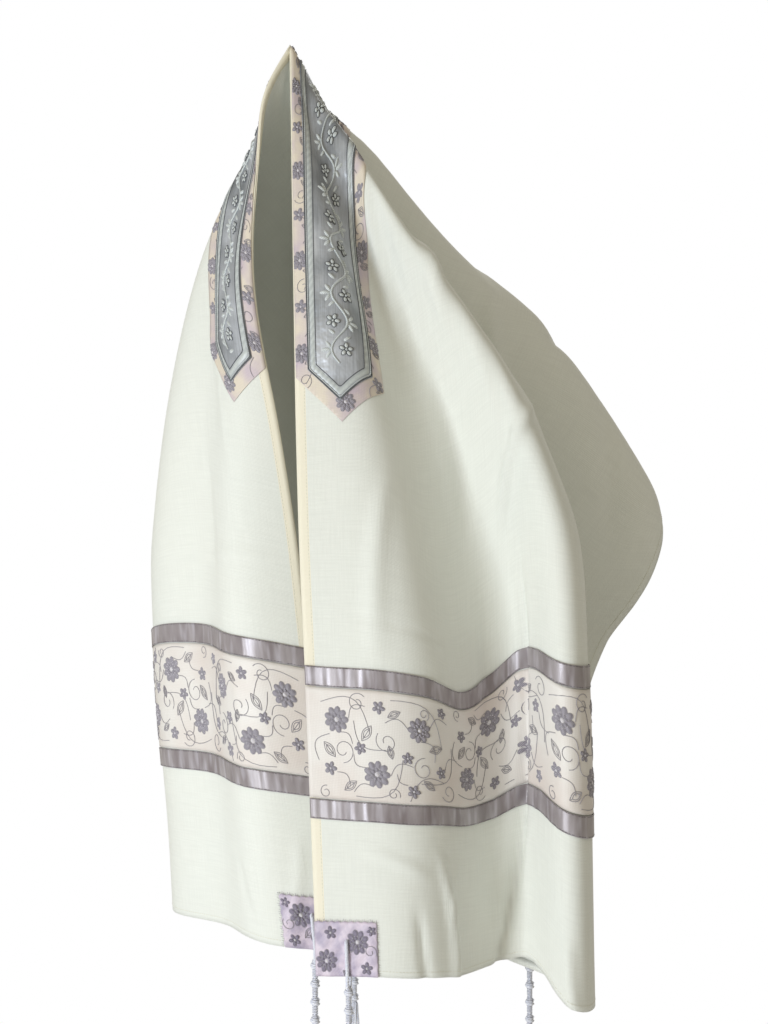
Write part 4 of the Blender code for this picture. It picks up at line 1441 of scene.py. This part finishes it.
white_wool = wool_thread_finish()
for side, word in SIDES:
    for corner, eyelet_down in (("front", EYELET_INSET), ("far", SHAWL_WIDTH - EYELET_INSET)):
        node = f"{word}_{corner}_tassel"
        loop, top = tassel_paths(side, eyelet_down)
        mesh = threads(twisted(loop, LOOP_CORD, LOOP_PITCH, plies=3), LOOP_CORD * LOOP_PLY)
        core = TASSEL_HEAD_WIDTH / 2 - WINDING
        pitch = TASSEL_HEAD / TASSEL_KNOTS
        threads([[top, top - np.array([0, 0, TASSEL_HEAD])]], 2 * core, mesh)
        windings, knots = [], []
        for k in range(TASSEL_KNOTS):
            start = k * pitch
            knot = start + pitch / 3
            for half, off, climb in KNOT_TURNS:
                knots.append(helix(top, knot - half, knot + half, core + off, climb))
            wound = (start + WINDING_ENDS, start + pitch - WINDING_ENDS)
            windings.append(helix(top, *wound, core + WINDING / 2, WINDING_PITCH))
        threads(windings, WINDING, mesh)
        threads(knots, KNOT_CORD, mesh)
        strands = []
        for k in range(STRANDS):
            turn = 2 * math.pi * (k + 0.5) / STRANDS
            length = TASSEL_TAIL * (1 - TAIL_UNEVEN + TAIL_UNEVEN * math.sin(2.7 * k + side))
            share = np.linspace(0, 1, STRAND_POINTS)
            flare = STRAND_ROOTS + (STRAND_FLARE + STRAND_WAVE * np.sin(4 * share + 1.9 * k)) * share
            root = top - np.array([0, 0, TASSEL_HEAD * (1 - 1 / (3 * TASSEL_KNOTS))])
            hanging = np.stack([
                root[0] + flare * math.cos(turn), root[1] + flare * math.sin(turn), root[2] - length * share
            ], axis=1)
            strands += twisted(hanging, STRAND_WIDTH, STRAND_PITCH)
        threads(strands, STRAND_WIDTH * STRAND_PLY, mesh)
        add_piece(f"{node}_wool", mesh, [white_wool], [node])

# Studio. The shawl hangs over a pale floor in soft light, seen level from in front at two metres.
FLOOR = -1.45
FLOOR_RADIUS = 1.7
VIEW_DISTANCE = 2.0
VIEW_ACROSS = 0.094
VIEW_HEIGHT = -0.467
VIEW_TALL = 1.024
SENSOR = 36.0
SKY_ON_CLOTH = 0.41
LIGHTS_AIM = (0.1, 0.05, -0.5)
LIGHTS = (
    # name, place, size, watts, colour
    ("key", (-1.9, -2.1, -0.8), 0.9, 53, "#F1F8FF"),
    ("fill", (-1.2, -2.1, 0.8), 1.6, 5, "#FFEFC8"),
    ("rim", (0.8, 2.2, 0.9), 1.6, 14, "#FFFFFF"),
)

floor_finish = bpy.data.materials.new("matt_white_floor")
floor_finish.use_nodes = True
floor_tree = floor_finish.node_tree
grain = add_node(floor_tree, "ShaderNodeTexNoise", {"Scale": 3.0, "Detail": 2.0})
pale = add_node(
    floor_tree, "ShaderNodeMix", {0: grain.outputs["Fac"], 6: linear("#F4F4F3"), 7: linear("#FAFAFA")},
    data_type="RGBA",
)
floor_shader = floor_tree.nodes["Principled BSDF"]
floor_tree.links.new(pale.outputs[2], floor_shader.inputs["Base Color"])
floor_shader.inputs["Roughness"].default_value = 0.9
ground = bmesh.new()
bmesh.ops.create_circle(ground, cap_ends=True, segments=128, radius=FLOOR_RADIUS)
bmesh.ops.translate(ground, vec=(0, 0, FLOOR), verts=ground.verts)
floor_data = bpy.data.meshes.new("floor")
ground.to_mesh(floor_data)
ground.free()
floor_data.materials.append(floor_finish)
floor = bpy.data.objects.new("floor", floor_data)
bpy.context.scene.collection.objects.link(floor)

for name, place, size, power, colour in LIGHTS:
    lamp = bpy.data.lights.new(name, "AREA")
    lamp.size, lamp.energy, lamp.color = size, power, linear(colour)[:3]
    light = bpy.data.objects.new(name, lamp)
    light.location = place
    light.rotation_euler = (Vector(LIGHTS_AIM) - Vector(place)).to_track_quat("-Z", "Y").to_euler()
    bpy.context.scene.collection.objects.link(light)

world = bpy.data.worlds.new("soft_white")
world.use_nodes = True
sky = world.node_tree
seen = add_node(sky, "ShaderNodeLightPath").outputs["Is Camera Ray"]
strength = add_node(sky, "ShaderNodeMapRange", {"Value": seen, "To Min": SKY_ON_CLOTH, "To Max": 1.0})
daylight = add_node(
    sky, "ShaderNodeMix", {0: seen, 6: linear("#FFF8E6"), 7: linear("#FFFFFF")}, data_type="RGBA"
)
sky.links.new(daylight.outputs[2], sky.nodes["Background"].inputs["Color"])
sky.links.new(strength.outputs[0], sky.nodes["Background"].inputs["Strength"])
bpy.context.scene.world = world
bpy.context.scene.view_settings.view_transform = "Standard"

lens = bpy.data.cameras.new("camera")
lens.sensor_width = SENSOR
lens.lens = SENSOR * VIEW_DISTANCE / VIEW_TALL
camera = bpy.data.objects.new("camera", lens)
camera.location = (VIEW_ACROSS, -VIEW_DISTANCE, VIEW_HEIGHT)
camera.rotation_euler = (math.pi / 2, 0, 0)
bpy.context.scene.collection.objects.link(camera)
bpy.context.scene.camera = camera
